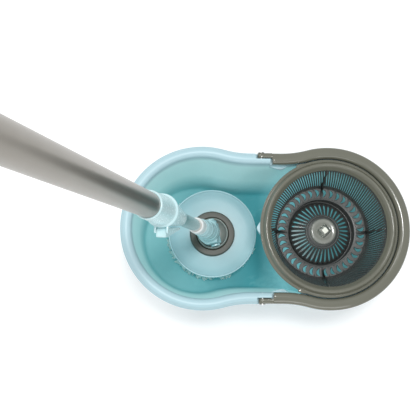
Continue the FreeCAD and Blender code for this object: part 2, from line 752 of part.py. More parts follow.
revolve(cup, "section", [
    ("0", f"{FLANGE_Z} + head_gap"), ("flange_r", f"{FLANGE_Z} + head_gap"),
    ("flange_r", f"{CUP_FLOOR} - head_gap"), ("cup_r", f"{CUP_FLOOR} - head_gap"),
    ("cup_r", "cup_z - 1.2"), ("cup_r - 1.2", "cup_z"), ("cup_in", "cup_z"),
    ("cup_in", CUP_FLOOR), ("0", CUP_FLOOR),
])


def ear_pair(sketch):
    """Side view of an ear: straight sides up to the tilt pin."""
    draw_polygon(sketch, [
        ("-ear_half", f"{CUP_FLOOR} - 1"), ("ear_half", f"{CUP_FLOOR} - 1"),
        ("ear_half", "pivot_z + ear_half / 2"),
        ("ear_half / 2", "pivot_z + ear_half"), ("-ear_half / 2", "pivot_z + ear_half"),
        ("-ear_half", "pivot_z + ear_half / 2"),
    ])


extrude(cup, "ear_near", "XZ", "ear_in", "ear_thick", ear_pair)
extrude(cup, "ear_far", "XZ", "-ear_in - ear_thick", "ear_thick", ear_pair)
extrude(
    cup, "ear_bores", "XZ", "0", "2 * cup_r",
    lambda s: draw_circle(s, "yoke_pin_r", "0", "pivot_z"), kind="Pocket", Midplane=True,
)
tilt_pin = doc.addObject("Part::Cylinder", "tilt_pin")
tilt_pin.setExpression("Radius", bound("yoke_pin_r"))
tilt_pin.setExpression("Height", bound("2 * (ear_in + ear_thick)"))
tilt_pin.Placement = HEAD * Placement(
    V(0, size("ear_in + ear_thick"), size("pivot_z")), Rotation(V(1, 0, 0), 90)
)
subparts.append(tilt_pin)

# ---------------------------------------------------------------- yoke and inner tube

yoke = new_body("yoke", POLE)
extrude(
    yoke, "knuckle", "XZ", "0", "2 * knuckle_half",
    lambda s: draw_circle(s, "knuckle_r"), Midplane=True,
)


def yoke_block(sketch):
    """Plan of the block over the knuckle: a slanting flat on one side, five short sides on the other."""
    end = "(knuckle_half - 0.01)"
    draw_polygon(sketch, [
        ("block_right - 6", f"-{end}"), ("block_right", "knuckle_half - 8"), ("block_right - 8", end),
        ("-block_left + 11", end), ("-block_left + 2.5", "knuckle_half / 2"), ("-block_left", "0"),
        ("-block_left + 2.5", "-knuckle_half / 2"), ("-block_left + 11", f"-{end}"),
    ])


extrude(yoke, "block", "XY", "2", "block_top - 2", yoke_block)
revolve(yoke, "neck", [
    ("0", "10"), ("neck_r", "10"), ("neck_r", "block_top + 26"), ("neck_r - 1.5", "block_top + 28"),
    ("neck_r - 1.5", "block_top + 76"), ("neck_top_r + 1.3", "block_top + 78"),
    ("neck_top_r + 1", "neck_top - 16"), ("neck_top_r", "neck_top - 14"), ("neck_top_r", "neck_top"),
    ("0", "neck_top"),
])
extrude(
    yoke, "socket", "XY", "socket_low", "neck_top - socket_low",
    lambda s: draw_circle(s, "tube_r"), kind="Pocket", Reversed=True,
)
extrude(
    yoke, "pin_bore", "XZ", "0", "2 * knuckle_half",
    lambda s: draw_circle(s, "yoke_pin_r + running"), kind="Pocket", Midplane=True,
)
extrude(
    yoke, "rivet_bore", "XZ", "0", "2 * neck_r",
    lambda s: draw_circle(s, "rivet_r", "0", "rivet_at"), kind="Pocket", Midplane=True,
)
sleeve = new_body("tube_sleeve", POLE)
revolve(sleeve, "section", [
    ("tube_r", "neck_top"), ("tube_r + sleeve_wide", "neck_top"), ("tube_r + sleeve_wide", "sleeve_top - 2"),
    ("tube_r + 1", "sleeve_top"), ("tube_r", "sleeve_top"),
])
inner = new_body("inner_tube", POLE)
revolve(inner, "section", [
    (TUBE_BORE, "socket_low"), ("tube_r", "socket_low"), ("tube_r", "tube_top"), (TUBE_BORE, "tube_top"),
])
extrude(
    inner, "rivet_bore", "XZ", "0", "3 * tube_r",
    lambda s: draw_circle(s, "rivet_r", "0", "rivet_at"), kind="Pocket", Midplane=True,
)
rivet = doc.addObject("Part::Cylinder", "tube_rivet")
rivet.setExpression("Radius", bound("rivet_r"))
rivet.setExpression("Height", bound("2 * neck_top_r"))
rivet.Placement = POLE * Placement(V(0, size("neck_top_r"), size("rivet_at")), Rotation(V(1, 0, 0), 90))
subparts.append(rivet)

# Drive nut in the tube's top: a plug with a thin jaw whose slot fits the twisted bar.
nut = new_body("drive_nut", POLE)
revolve(nut, "section", [
    ("0", NUT_LOW), (TUBE_BORE, NUT_LOW), (TUBE_BORE, "tube_top"), ("tube_r", "tube_top"),
    ("tube_r", "tube_top + nut_flange"), ("0", "tube_top + nut_flange"),
])
extrude(
    nut, "hollow", "XY", NUT_LOW, "nut_tall - nut_jaw",
    lambda s: draw_circle(s, "nut_clear_r"), kind="Pocket", Reversed=True,
)
extrude(
    nut, "jaw", "XY", "tube_top + nut_flange", "nut_jaw",
    lambda s: draw_rectangle(
        s, "-rod_wide / 2 - slot_gap", "rod_wide / 2 + slot_gap",
        "-rod_thick / 2 - slot_gap", "rod_thick / 2 + slot_gap",
    ), kind="Pocket",
)

# ---------------------------------------------------------------- outer tube

guide = new_body("guide_bush", POLE)
revolve(guide, "section", [
    ("tube_r + running", "outer_low + 1"), (f"{OUTER_BORE} - bush_gap", "outer_low + 1"),
    (f"{OUTER_BORE} - bush_gap", "outer_low + 1 + bush_tall"),
    ("tube_r + running", "outer_low + 1 + bush_tall"),
])
outer = new_body("outer_tube", POLE)
revolve(outer, "section", [
    (OUTER_BORE, "outer_low"), ("outer_r", "outer_low"), ("outer_r", "outer_top"), (OUTER_BORE, "outer_top"),
])
plug = new_body("rod_plug", POLE)
revolve(plug, "section", [
    ("0", "rod_top"), (OUTER_BORE, "rod_top"), (OUTER_BORE, "rod_top + plug_tall"),
    ("0", "rod_top + plug_tall"),
])


def twisted_bar():
    """A flat bar turned about its own length, square to the jaw at the jaw's middle."""
    wide = size("rod_wide / 2")
    thick = size("rod_thick / 2")
    low = size("rod_low")
    length = size("rod_top") - low
    spine = Part.Wire([Part.LineSegment(V(0, 0, 0), V(0, 0, length)).toShape()])
    guide_line = Part.makeHelix(size("rod_pitch"), length, 10)
    corners = [V(-wide, -thick, 0), V(wide, -thick, 0), V(wide, thick, 0), V(-wide, thick, 0)]
    sweep = Part.BRepOffsetAPI.MakePipeShell(spine)
    sweep.setAuxiliarySpine(Part.Wire(guide_line.Edges), False, 0)
    sweep.add(Part.makePolygon(corners + corners[:1]), False, False)
    sweep.build()
    sweep.makeSolid()
    return sweep.shape()


jaw_height = size("tube_top + nut_flange - nut_jaw / 2")
rod_turn = 360 * (size("rod_low") - jaw_height) / size("rod_pitch")
rod = doc.addObject("Part::Feature", "twisted_rod")
rod.Shape = twisted_bar()
rod.Placement = POLE * Placement(V(0, 0, size("rod_low")), Rotation(V(0, 0, 1), rod_turn))
subparts.append(rod)

# Lock collar: a long clamp that hides the outer tube's end, with a belt where its lever is hinged.
collar = new_body("lock_collar", COLLAR)
revolve(collar, "section", [
    ("collar_bore", "collar_low"), ("collar_bore + 1.4", "collar_low"),
    ("collar_r - 0.7", "collar_belt - 17"),
    ("collar_r - 0.7", "collar_belt - 1"), ("collar_r - 1.6", "collar_belt"), ("collar_r", "collar_belt + 1"),
    ("collar_r", "collar_belt + 14"), ("collar_r - 1", "collar_belt + 26"),
    ("collar_top_r", "collar_top - 3"), ("collar_top_r", "collar_top"), ("outer_r", "collar_top"),
    ("outer_r", "outer_low"), ("collar_bore", "outer_low"),
])


def lever_lugs(sketch):
    """Two lugs beside the lever, seen along the pole."""
    for side in ("", "-"):
        draw_rectangle(
            sketch, f"{side}(lever_wide / 2 + 0.3)", f"{side}(lever_wide / 2 + 0.3 + lug_thick)",
            "-lever_y - 2.5", "-collar_r + 4",
        )


LUG_TALL = "(2 * lever_pin_r + 4)"
extrude(collar, "lugs", "XY", f"lever_s - {LUG_TALL} / 2", LUG_TALL, lever_lugs)
extrude(
    collar, "lug_bores", "YZ", "0", "4 * lever_wide",
    lambda s: draw_circle(s, "lever_pin_r", "-lever_y", "lever_s"), kind="Pocket", Midplane=True,
)
lever_pin = doc.addObject("Part::Cylinder", "lever_pin")
lever_pin.setExpression("Radius", bound("lever_pin_r"))
lever_pin.setExpression("Height", bound("lever_wide + 0.6 + 2 * lug_thick"))
lever_pin.Placement = COLLAR * Placement(
    V(-size("lever_wide / 2 + 0.3 + lug_thick"), -size("lever_y"), size("lever_s")), Rotation(V(0, 1, 0), 90)
)
subparts.append(lever_pin)

# Lever: a wedge that lies along the collar, from a short cam at its pin to a thin tip near the tube.
lever = new_body("lock_lever", COLLAR)
extrude(
    lever, "plate", "YZ", "0", "lever_wide",
    lambda s: draw_polygon(s, [
        ("-lever_y + lever_cam", "lever_s - 2"), ("-lever_y + lever_cam - 0.8", "lever_s + 1.5"),
        ("-lever_y", "lever_s + lever_cam"), ("-lever_reach + 1.5", "lever_s + lever_cam + 0.3"),
        ("-lever_reach", "lever_s + lever_cam - 1.5"), ("-lever_reach", "lever_s - 6"),
        ("-collar_bore - 7", "lever_tip"), ("-collar_bore - 4", "lever_tip"),
        ("-lever_y + lever_cam", "lever_s - 12"),
    ]), Midplane=True,
)
extrude(
    lever, "bore", "YZ", "0", "2 * lever_wide",
    lambda s: draw_circle(s, "lever_pin_r + running", "-lever_y", "lever_s"), kind="Pocket", Midplane=True,
)

GRIP_TOP = "(grip_low + (grip_ribs + 1) * rib_pitch)"
grip = new_body("hand_grip", POLE)
revolve(grip, "section", [
    ("outer_r", "grip_low"), ("grip_r - 1", "grip_low"), ("grip_r", "grip_low + 2"),
    ("grip_r", f"{GRIP_TOP} - 2"), ("grip_r - 1", GRIP_TOP), ("outer_r", GRIP_TOP),
])
for rib in range(int(size("grip_ribs"))):
    middle = f"grip_low + {rib + 1} * rib_pitch"
    revolve(grip, f"rib{rib}", [
        ("grip_r - rib_deep", f"{middle} - 1.5"), ("grip_r + 1", f"{middle} - 3.5"),
        ("grip_r + 1", f"{middle} + 3.5"), ("grip_r - rib_deep", f"{middle} + 1.5"),
    ], kind="Groove")

end_cap = new_body("end_cap", POLE)
revolve(end_cap, "dome", [
    ("0", "outer_top"), ("cap_r", "outer_top"), ("cap_r", "outer_top + cap_tall / 2"),
    ("cap_r - 3", f"{CAP_Z} - 2"), ("cap_r - 6", CAP_Z), ("0", CAP_Z),
])


def hanging_loop(sketch):
    """The loop's outline, sunk a little into the dome."""
    draw_circle(sketch, "loop_r", "0", f"{CAP_Z} + loop_hole - 1")


extrude(end_cap, "loop", "XZ", "0", "loop_thick", hanging_loop, Midplane=True)
extrude(
    end_cap, "loop_hole", "XZ", "0", "2 * loop_thick",
    lambda s: draw_circle(s, "loop_hole", "0", f"{CAP_Z} + loop_hole + 1"), kind="Pocket", Midplane=True,
)

# ---------------------------------------------------------------- check and write

doc.recompute()
faults = [
    f"{item.Name}: {item.State}" for item in doc.Objects if {"Invalid", "Error"} & set(item.State)
]
for piece in subparts:
    if piece.Shape.isNull() or not piece.Shape.isValid() or not piece.Shape.Solids:
        faults.append(f"{piece.Label}: no valid solid")
if faults:
    sys.exit("\n".join(faults))

os.makedirs("parts", exist_ok=True)
for piece in subparts:
    piece.Shape.exportStep(f"parts/{piece.Label}.step")
    print(f"{piece.Label:16s} {len(piece.Shape.Solids)} solids, {piece.Shape.Volume / 1000:8.2f} cm3")
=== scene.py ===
"""Looks of the spin mop: bucket, handle, basket ring, turning basket, mop head and telescopic pole."""

import json
import math

import bmesh
import bpy
import numpy as np
from mathutils import Euler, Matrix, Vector


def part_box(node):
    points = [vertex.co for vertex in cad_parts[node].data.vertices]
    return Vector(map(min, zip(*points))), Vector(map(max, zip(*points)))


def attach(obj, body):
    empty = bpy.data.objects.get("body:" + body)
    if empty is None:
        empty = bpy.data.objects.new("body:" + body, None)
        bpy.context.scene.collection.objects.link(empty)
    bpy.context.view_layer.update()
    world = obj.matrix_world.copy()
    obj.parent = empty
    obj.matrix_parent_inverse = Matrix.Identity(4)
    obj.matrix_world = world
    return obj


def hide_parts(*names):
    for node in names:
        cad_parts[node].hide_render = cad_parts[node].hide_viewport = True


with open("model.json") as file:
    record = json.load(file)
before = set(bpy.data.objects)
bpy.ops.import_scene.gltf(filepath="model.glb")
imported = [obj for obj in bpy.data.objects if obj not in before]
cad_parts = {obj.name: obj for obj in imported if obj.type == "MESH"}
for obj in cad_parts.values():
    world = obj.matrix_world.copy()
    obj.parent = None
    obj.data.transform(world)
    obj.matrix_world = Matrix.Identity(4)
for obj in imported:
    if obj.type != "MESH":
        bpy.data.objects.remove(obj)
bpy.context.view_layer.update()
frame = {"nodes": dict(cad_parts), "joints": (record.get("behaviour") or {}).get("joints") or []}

MM = 0.001
TAU = 2 * math.pi

# ---------------------------------------------------------------- places, in millimetres


def joint(name):
    """A joint of the frame by name."""
    return next(j for j in frame["joints"] if j["name"] == name)


def span(node):
    """Lowest and highest corner of a node, in millimetres."""
    low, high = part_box(node)
    return np.array(low) / MM, np.array(high) / MM


def axes(origin, ahead, side, up):
    """A place as a 4x4 matrix from its origin and three unit directions."""
    place = np.eye(4)
    place[:3, :3] = np.array([ahead, side, up]).T
    place[:3, 3] = origin
    return place


UP = np.array([0.0, 0.0, 1.0])
tilt = joint("pole_tilt")
TILT_SIDE = np.array(tilt["axis"])
POLE_UP = -np.array(joint("pole_push")["axis"])
PIVOT = np.array(tilt["pos_m"]) / MM
HEAD_AT = PIVOT * [1, 1, 0]
BASKET_AT = np.array(joint("basket_spin")["pos_m"]) / MM * [1, 1, 0]
HANDLE_PIN = np.array(joint("handle_swing")["pos_m"]) / MM
LEVER_ACROSS = -np.array(joint("lever_flip")["axis"])

WORLD = np.eye(4)
BASKET = axes(BASKET_AT, [1, 0, 0], [0, 1, 0], UP)
HEAD = axes(HEAD_AT, np.cross(TILT_SIDE, UP), TILT_SIDE, UP)
POLE = axes(PIVOT, np.cross(TILT_SIDE, POLE_UP), TILT_SIDE, POLE_UP)
COLLAR = axes(PIVOT, LEVER_ACROSS, np.cross(POLE_UP, LEVER_ACROSS), POLE_UP)

# ---------------------------------------------------------------- materials


class Wire:
    """A socket that sums, differences and products can be written with."""

    def __init__(self, finish, socket):
        self.finish = finish
        self.socket = socket

    def maths(self, operation, *values):
        inputs = dict(enumerate(values))
        return self.finish.add("Math", inputs, operation=operation)

    def __add__(self, other):
        return self.maths("ADD", self, other)

    def __sub__(self, other):
        return self.maths("SUBTRACT", self, other)

    def __mul__(self, other):
        return self.maths("MULTIPLY", self, other)

    __radd__ = __add__

    def clamp(self, low, high):
        """The value held between two numbers."""
        return self.maths("MINIMUM", self.maths("MAXIMUM", self, low), high)


class Finish:
    """A material whose shader is fed by wires."""

    def __init__(self, name):
        self.material = bpy.data.materials.new(name)
        self.material.use_nodes = True
        self.tree = self.material.node_tree
        self.shader = self.tree.nodes["Principled BSDF"]

    def feed(self, socket, value):
        """Links a wire to a socket, or sets the socket's own value."""
        if isinstance(value, Wire):
            self.tree.links.new(value.socket, socket)
        else:
            socket.default_value = value

    def add(self, kind, inputs=None, out=0, **settings):
        """A node of a kind: its settings first, then the values or links of its sockets."""
        node = self.tree.nodes.new("ShaderNode" + kind)
        for key, value in settings.items():
            setattr(node, key, value)
        for key, value in (inputs or {}).items():
            self.feed(node.inputs[key], value)
        return Wire(self, node.outputs[out])

    def here(self):
        """Position on the piece, in metres."""
        return self.add("TexCoord", out="Object")

    def noise(self, scale, detail=2.0, vector=None, swirl=0.0):
        """Smooth random value from 0 to 1, bent on itself by a swirl."""
        inputs = {"Vector": vector or self.here(), "Scale": scale, "Detail": detail, "Distortion": swirl}
        return self.add("TexNoise", inputs)

    def stretch(self, scale, turn=(0, 0, 0), vector=None):
        """Position scaled by three numbers after a turn."""
        inputs = {"Vector": vector or self.here(), "Rotation": turn}
        turned = self.add("Mapping", inputs)
        return self.add("VectorMath", {0: turned, 1: scale}, operation="MULTIPLY")

    def tint(self, share, one, other):
        """A colour between two, by a share from 0 to 1."""
        colours = [c if isinstance(c, Wire) else (*c, 1) for c in (one, other)]
        inputs = {0: share, 6: colours[0], 7: colours[1]}
        return self.add("Mix", inputs, out=2, data_type="RGBA", clamp_factor=True)

    def relief(self, height, depth):
        """A surface relief of a height from 0 to 1 over a depth in metres."""
        return self.add("Bump", {"Height": height, "Distance": depth, "Strength": 1.0})

    def set(self, **inputs):
        """Feeds the shader's sockets and hands back the material."""
        for key, value in inputs.items():
            self.feed(self.shader.inputs[key.replace("_", " ")], value)
        return self.material


def moulded(name, pale, deep, rough, coat=0.0):
    """Injection-moulded plastic: faint clouding, a fine skin and hair scratches that dull the gloss."""
    f = Finish(name)
    cloud = f.noise(14, 3)
    skin = f.noise(1400, 2)
    scratch = f.noise(60, 4, f.stretch((1, 14, 3), (0.4, 0.2, 0.9)))
    worn = ((scratch - 0.58) * 9).clamp(0, 1)
    return f.set(
        Base_Color=f.tint((cloud * 1.3 - 0.15) + worn * 0.12, pale, deep),
        Roughness=rough + (skin - 0.5) * 0.12 + worn * 0.10,
        Normal=f.relief(skin * 0.7 + worn * 0.3, 0.00004),
        Coat_Weight=coat,
        Coat_Roughness=0.12,
    )


def bucket_plastic():
    """The bucket's pale aqua plastic, a deeper teal inside towards the floor, which is painted shade, with
    faint lighter swirls there, which are painted caustic-like light.

    Its inside glows a little, most of all below the basket: the glow is painted light, standing in for light
    that bounces round the deep bucket and lights the basket's holes from beneath.
    """
    f = Finish("aqua_bucket")
    inside = f.add("Attribute", out="Fac", attribute_name="inside")
    here = f.here()
    cloud = f.noise(10, 3, here)
    skin = f.noise(1200, 2, here)
    swirl = f.noise(13, 5, here, swirl=2.2)
    # The inside turns a deeper teal towards the floor: this is painted shade of the deep bucket.
    deep = ((inside - 0.72) * 3.6).clamp(0, 1)
    # The lighter swirls near the floor are painted caustic-like light.
    painted_caustic_streak = ((swirl - 0.5) * 6).clamp(0, 1) * deep
    within = (inside * 4).clamp(0, 1)
    x = f.add("SeparateXYZ", {0: here})
    # The floor darkens from the mop's lobe towards the basket's lobe: painted shade under the basket.
    inward = ((x + 0.19) * 5.5).clamp(0, 1)
    floor = f.tint(inward, (0.34, 0.58, 0.59), (0.08, 0.33, 0.365))
    wall = f.tint(deep, (0.44, 0.66, 0.67), floor)
    outer = f.tint(cloud * 0.6, (0.43, 0.62, 0.68), (0.39, 0.58, 0.64))
    # All of the emission inside is painted light: a glow that fades towards the floor, and a stronger one
    # below the basket that lights its holes from beneath.
    below = ((x - 0.01) * 22).clamp(0, 1)
    beyond = ((x - 0.07) * 12).clamp(0, 1)
    painted_glow = f.tint(deep, (0.115, 0.185, 0.185), (0.012, 0.075, 0.085))
    bright = f.tint(beyond, (0.11, 0.26, 0.28), (0.045, 0.105, 0.108))
    return f.set(
        Base_Color=f.tint(painted_caustic_streak * 0.22, f.tint(within, outer, wall), (0.40, 0.72, 0.72)),
        Roughness=0.33 + (skin - 0.5) * 0.10 + deep * 0.40,
        Normal=f.relief(skin, 0.00003),
        Emission_Color=f.tint(within, (0, 0, 0), f.tint(below, painted_glow, bright)),
        Emission_Strength=1.0,
        Specular_IOR_Level=0.35,
    )


def basket_plastic():
    """The turning basket's dark grey plastic, a little lighter where the mop has rubbed it."""
    f = Finish("dark_basket")
    rub = f.noise(45, 5)
    skin = f.noise(1800, 2)
    worn = ((rub - 0.5) * 4).clamp(0, 1)
    return f.set(
        Base_Color=f.tint(worn * 0.5, (0.074, 0.082, 0.080), (0.12, 0.13, 0.125)),
        Roughness=0.30 + worn * 0.12 + (skin - 0.5) * 0.08,
        Normal=f.relief(skin, 0.00003),
    )


def bright_metal(name, colour, rough, lines):
    """Plated or brushed tube: drawn lines along the pole and faint smears."""
    f = Finish(name)
    along = f.add("UVMap", uv_map="length")
    smear = f.noise(30, 3)
    drawn = f.noise(1, 2, f.stretch((900, 6, 1), vector=along))
    return f.set(
        Base_Color=f.tint(smear, colour, tuple(c * 0.94 for c in colour)),
        Metallic=1.0,
        Roughness=rough + (smear - 0.5) * 0.04 + (drawn - 0.5) * lines,
        Normal=f.relief(drawn, 0.00001),
    )


def plain_steel():
    """Small turned steel parts, with fine machining marks."""
    f = Finish("turned_steel")
    mark = f.noise(1.0, 2, f.stretch((300, 300, 4000)))
    return f.set(
        Base_Color=f.tint(mark, (0.50, 0.50, 0.49), (0.66, 0.66, 0.65)),
        Metallic=1.0,
        Roughness=0.26 + mark * 0.12,
        Normal=f.relief(mark, 0.00002),
    )


def grip_rubber():
    """Soft grip rubber: near black, matt, with a pebbled skin."""
    f = Finish("grip_rubber")
    pebble = f.add("TexVoronoi", {"Vector": f.here(), "Scale": 900.0})
    dust = f.noise(25, 4)
    return f.set(
        Base_Color=f.tint(dust, (0.030, 0.034, 0.034), (0.060, 0.064, 0.062)),
        Roughness=0.62 + dust * 0.15,
        Normal=f.relief(pebble, 0.00012),
    )


def microfibre():
    """Damp microfibre yarn: pale, twisted plies along each strand, with a soft fuzz."""
    f = Finish("microfibre_yarn")
    uv = f.add("UVMap", uv_map="length")
    inputs = {"Vector": uv, "Scale": 1.0, "Distortion": 0.6, "Detail": 1.0}
    ply = f.add("TexWave", inputs, out="Fac", bands_direction="DIAGONAL")
    fuzz = f.noise(900, 4)
    patch = f.noise(22, 2)
    return f.set(
        Base_Color=f.tint(ply * 0.3 + patch * 0.25, (0.93, 0.96, 0.93), (0.72, 0.83, 0.81)),
        Roughness=0.88,
        Sheen_Weight=0.5,
        Sheen_Roughness=0.4,
        # The faint aqua emission is painted light that lifts the strands out of the disc's shade.
        Emission_Color=(0.5, 0.9, 0.88, 1),
        Emission_Strength=0.10,
        Normal=f.relief(ply * 0.6 + fuzz * 0.4, 0.0006),
    )


AQUA = bucket_plastic()
DISC_AQUA = moulded("aqua_disc", (0.48, 0.70, 0.75), (0.43, 0.65, 0.71), 0.34)
BLUE = moulded("light_blue", (0.58, 0.80, 0.83), (0.52, 0.74, 0.78), 0.24, coat=0.2)
WARM_GREY = moulded("warm_grey", (0.150, 0.153, 0.119), (0.128, 0.131, 0.101), 0.16, coat=0.55)
HEAD_GREY = moulded("head_grey", (0.105, 0.098, 0.078), (0.092, 0.086, 0.069), 0.42)
LIGHT_GREY = moulded("light_grey", (0.36, 0.37, 0.34), (0.30, 0.31, 0.29), 0.30)
HUB_GREY = moulded("hub_grey", (0.27, 0.285, 0.255), (0.22, 0.235, 0.21), 0.16, coat=0.6)
WHITE = moulded("white_plastic", (0.80, 0.84, 0.84), (0.72, 0.78, 0.78), 0.35)
DARK = basket_plastic()
CHROME = bright_metal("chrome_plate", (0.58, 0.52, 0.47), 0.16, 0.03)
SILVER = bright_metal("cut_silver", (0.50, 0.52, 0.47), 0.42, 0.05)
CHAMPAGNE = bright_metal("champagne_tube", (0.27, 0.25, 0.22), 0.30, 0.05)
STEEL = plain_steel()
RUBBER = grip_rubber()
YARN = microfibre()

# ---------------------------------------------------------------- shapes


def moved(points, place):
    """Points carried from a place's own frame into the object's frame."""
    return points @ place[:3, :3].T + place[:3, 3]


def keep_piece(obj, body, material, replaces=()):
    """Gives a piece its body, slot and material, and hides the nodes it is shown in place of."""
    obj.data.materials.append(material)
    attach(obj, body)
    if replaces:
        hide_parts(*replaces)


def mesh_object(name, points, faces, crease=35.0, uv=None, inside=None):
    """A mesh from an array of points in millimetres and an array of quads, doubles merged."""
    mesh = bpy.data.meshes.new(name)
    mesh.from_pydata(points * MM, [], faces.tolist())
    if inside is not None:
        layer = mesh.attributes.new("inside", "FLOAT", "POINT")
        layer.data.foreach_set("value", inside.astype(np.float32).ravel())
    if uv is not None:
        layer = mesh.uv_layers.new(name="length")
        layer.data.foreach_set("uv", uv[faces.ravel()].ravel())
    merge_doubles(mesh)
    mesh.shade_smooth()
    mesh.set_sharp_from_angle(angle=math.radians(crease))
    obj = bpy.data.objects.new(name, mesh)
    bpy.context.scene.collection.objects.link(obj)
    return obj


def merge_doubles(mesh):
    """Joins points closer than two microns and drops faces with no area."""
    work = bmesh.new()
    work.from_mesh(mesh)
    bmesh.ops.remove_doubles(work, verts=work.verts, dist=0.000002)
    bmesh.ops.dissolve_degenerate(work, edges=work.edges, dist=0.000001)
    bmesh.ops.recalc_face_normals(work, faces=work.faces)
    work.to_mesh(mesh)
    work.free()


def quads(rows, columns, closed=False):
    """Corner numbers of a grid of quads, joined side to side, and end to end if closed."""
    i, j = np.meshgrid(np.arange(rows if closed else rows - 1), np.arange(columns), indexing="ij")
    below, beside = (i + 1) % rows, (j + 1) % columns
    corners = [i * columns + j, i * columns + beside, below * columns + beside, below * columns + j]
    return np.stack(corners, axis=-1).reshape(-1, 4)


def soften(corners, reach, steps=4):
    """Each corner becomes a quadratic curve between points one reach before and after it."""
    corner = np.asarray(corners, float)
    reach = np.broadcast_to(np.asarray(reach, float), len(corner))[:, None]
    before, after = np.roll(corner, 1, axis=0), np.roll(corner, -1, axis=0)
    back, ahead = before - corner, after - corner
    far_back = np.linalg.norm(back, axis=1, keepdims=True)
    far_ahead = np.linalg.norm(ahead, axis=1, keepdims=True)
    start = corner + back * np.minimum(reach / far_back, 0.45)
    end = corner + ahead * np.minimum(reach / far_ahead, 0.45)
    share = np.linspace(0, 1, steps + 1)[None, :, None]
    pull = 2 * share * (1 - share)
    curve = (1 - share) ** 2 * start[:, None] + pull * corner[:, None] + share**2 * end[:, None]
    return curve.reshape(-1, 2)


def spun(profile, count):
    """Rings of points: a profile of radius and height turned about the upward axis."""
    angle = np.linspace(0, TAU, count, endpoint=False)
    radius, height = profile[:, :1], profile[:, 1:]
    return np.stack([radius * np.cos(angle), radius * np.sin(angle), height + 0 * angle], axis=-1)


def turned(name, corners, reach=0.6, place=WORLD, count=128, steps=4, crease=35.0):
    """A closed profile of radius and height, its corners softened, turned once about the place's axis."""
    profile = soften(corners, reach, steps)
    profile[:, 0] = np.maximum(profile[:, 0], 0)
    points = moved(spun(profile, count).reshape(-1, 3), place)
    return mesh_object(name, points, quads(len(profile), count, closed=True), crease)


def drawn_tube(name, profile, place, count=64):
    """A tube's profile turned about the pole, with its length in metres as the second of its UVs."""
    profile = np.asarray(profile, float)
    turn = np.linspace(0, 1, count, endpoint=False)
    height = profile[:, 1:]
    uv = np.stack([turn + 0 * height, height * MM + 0 * turn], axis=-1).reshape(-1, 2)
    points = moved(spun(profile, count).reshape(-1, 3), place)
    return mesh_object(name, points, quads(len(profile), count), uv=uv)


def level_plate(name, outline, shares, heights, place, crease=35.0):
    """An outline laid flat at each of the heights, drawn in to its middle by each of the shares."""
    shares, heights = np.array([shares, heights], float)[:, :, None, None]
    middle = outline.mean(axis=0)
    flat = middle + (outline[None] - middle) * shares
    grid = np.concatenate([flat, heights + 0 * flat[..., :1]], axis=-1)
    return mesh_object(name, moved(grid.reshape(-1, 3), place), quads(len(grid), len(outline)), crease)


def upright_plate(name, outline, thick, place, turn=0.0, crease=35.0):
    """A plate standing on the place's axis: an outline of reach and height, bevelled at both faces."""
    middle = outline.mean(axis=0)
    share = np.array([0.0, 0.94, 1.0, 1.0, 0.94, 0.0])[:, None, None]
    side = np.array([-0.5, -0.5, -0.32, 0.32, 0.5, 0.5])[:, None] * thick
    flat = middle + (outline[None] - middle) * share
    ahead = np.array([math.cos(turn), math.sin(turn), 0.0])
    across = np.array([-math.sin(turn), math.cos(turn), 0.0])
    grid = flat[..., :1] * ahead + side[..., None] * across + flat[..., 1:] * UP
    return mesh_object(name, moved(grid.reshape(-1, 3), place), quads(len(share), len(outline)), crease)


# The bucket's outline at zero inset, and its outward normals: lobes, hollow blends and flats.
LOBE_X = BASKET_AT[0]
LOBE_R, RIM_Z = span("bucket_shell")[1][1:]
NECK_HALF = 122.0
NECK_FLAT = 24.0
RIM_WIDE = 18.0
BLEND_R = ((LOBE_X - NECK_FLAT) ** 2 + NECK_HALF**2 - LOBE_R**2) / (2 * (LOBE_R - NECK_HALF))
SWING = math.atan2(NECK_HALF + BLEND_R, NECK_FLAT - LOBE_X)


def lobed_outline(flat_x):
    """Half the outline, from the right lobe's end over the far side to the left lobe's end.

    Lobe arcs and hollow blend arcs are centre plus radius times cosine and sine; the flat
    takes the given places along X.  The near side is the mirror image in Y.
    """
    lobe = np.linspace(0, SWING, 96, endpoint=False)
    blend = np.linspace(SWING + math.pi, 1.5 * math.pi, 20, endpoint=False)
    flat = np.asarray(flat_x, float)[::-1]
    blend_y = NECK_HALF + BLEND_R
    lobe_dir = np.stack([np.cos(lobe), np.sin(lobe)], axis=1)
    blend_dir = np.stack([np.cos(blend), np.sin(blend)], axis=1)
    right = np.concatenate([[LOBE_X, 0] + LOBE_R * lobe_dir, [NECK_FLAT, blend_y] + BLEND_R * blend_dir])
    right_out = np.concatenate([lobe_dir, -blend_dir])
    level = np.stack([flat, np.full(len(flat), NECK_HALF)], axis=1)
    level_out = np.tile([0.0, 1.0], (len(flat), 1))
    mirror = np.array([-1.0, 1.0])
    left, left_out = right[::-1] * mirror, right_out[::-1] * mirror
    return np.concatenate([right, level, left]), np.concatenate([right_out, level_out, left_out])


def whole_outline(flat_x):
    """The closed outline and its normals: the far half, then its mirror image in Y."""
    half, out = lobed_outline(flat_x)
    mirror = np.array([1.0, -1.0])
    return np.concatenate([half, half[-2:0:-1] * mirror]), np.concatenate([out, out[-2:0:-1] * mirror])


# ---------------------------------------------------------------- bucket

LAP_X, _, HANDLE_LOW = span("bucket_handle")[0]
LAP_END = 10.4
SEAT_Z = HANDLE_LOW - 0.5
SEAT_X = -16.0
TONGUE_END = 7.5
FLOOR_Z = 3.0
DEPTH = RIM_Z - FLOOR_Z
FOOT_INSET = 32.6
TAPER = 17.0


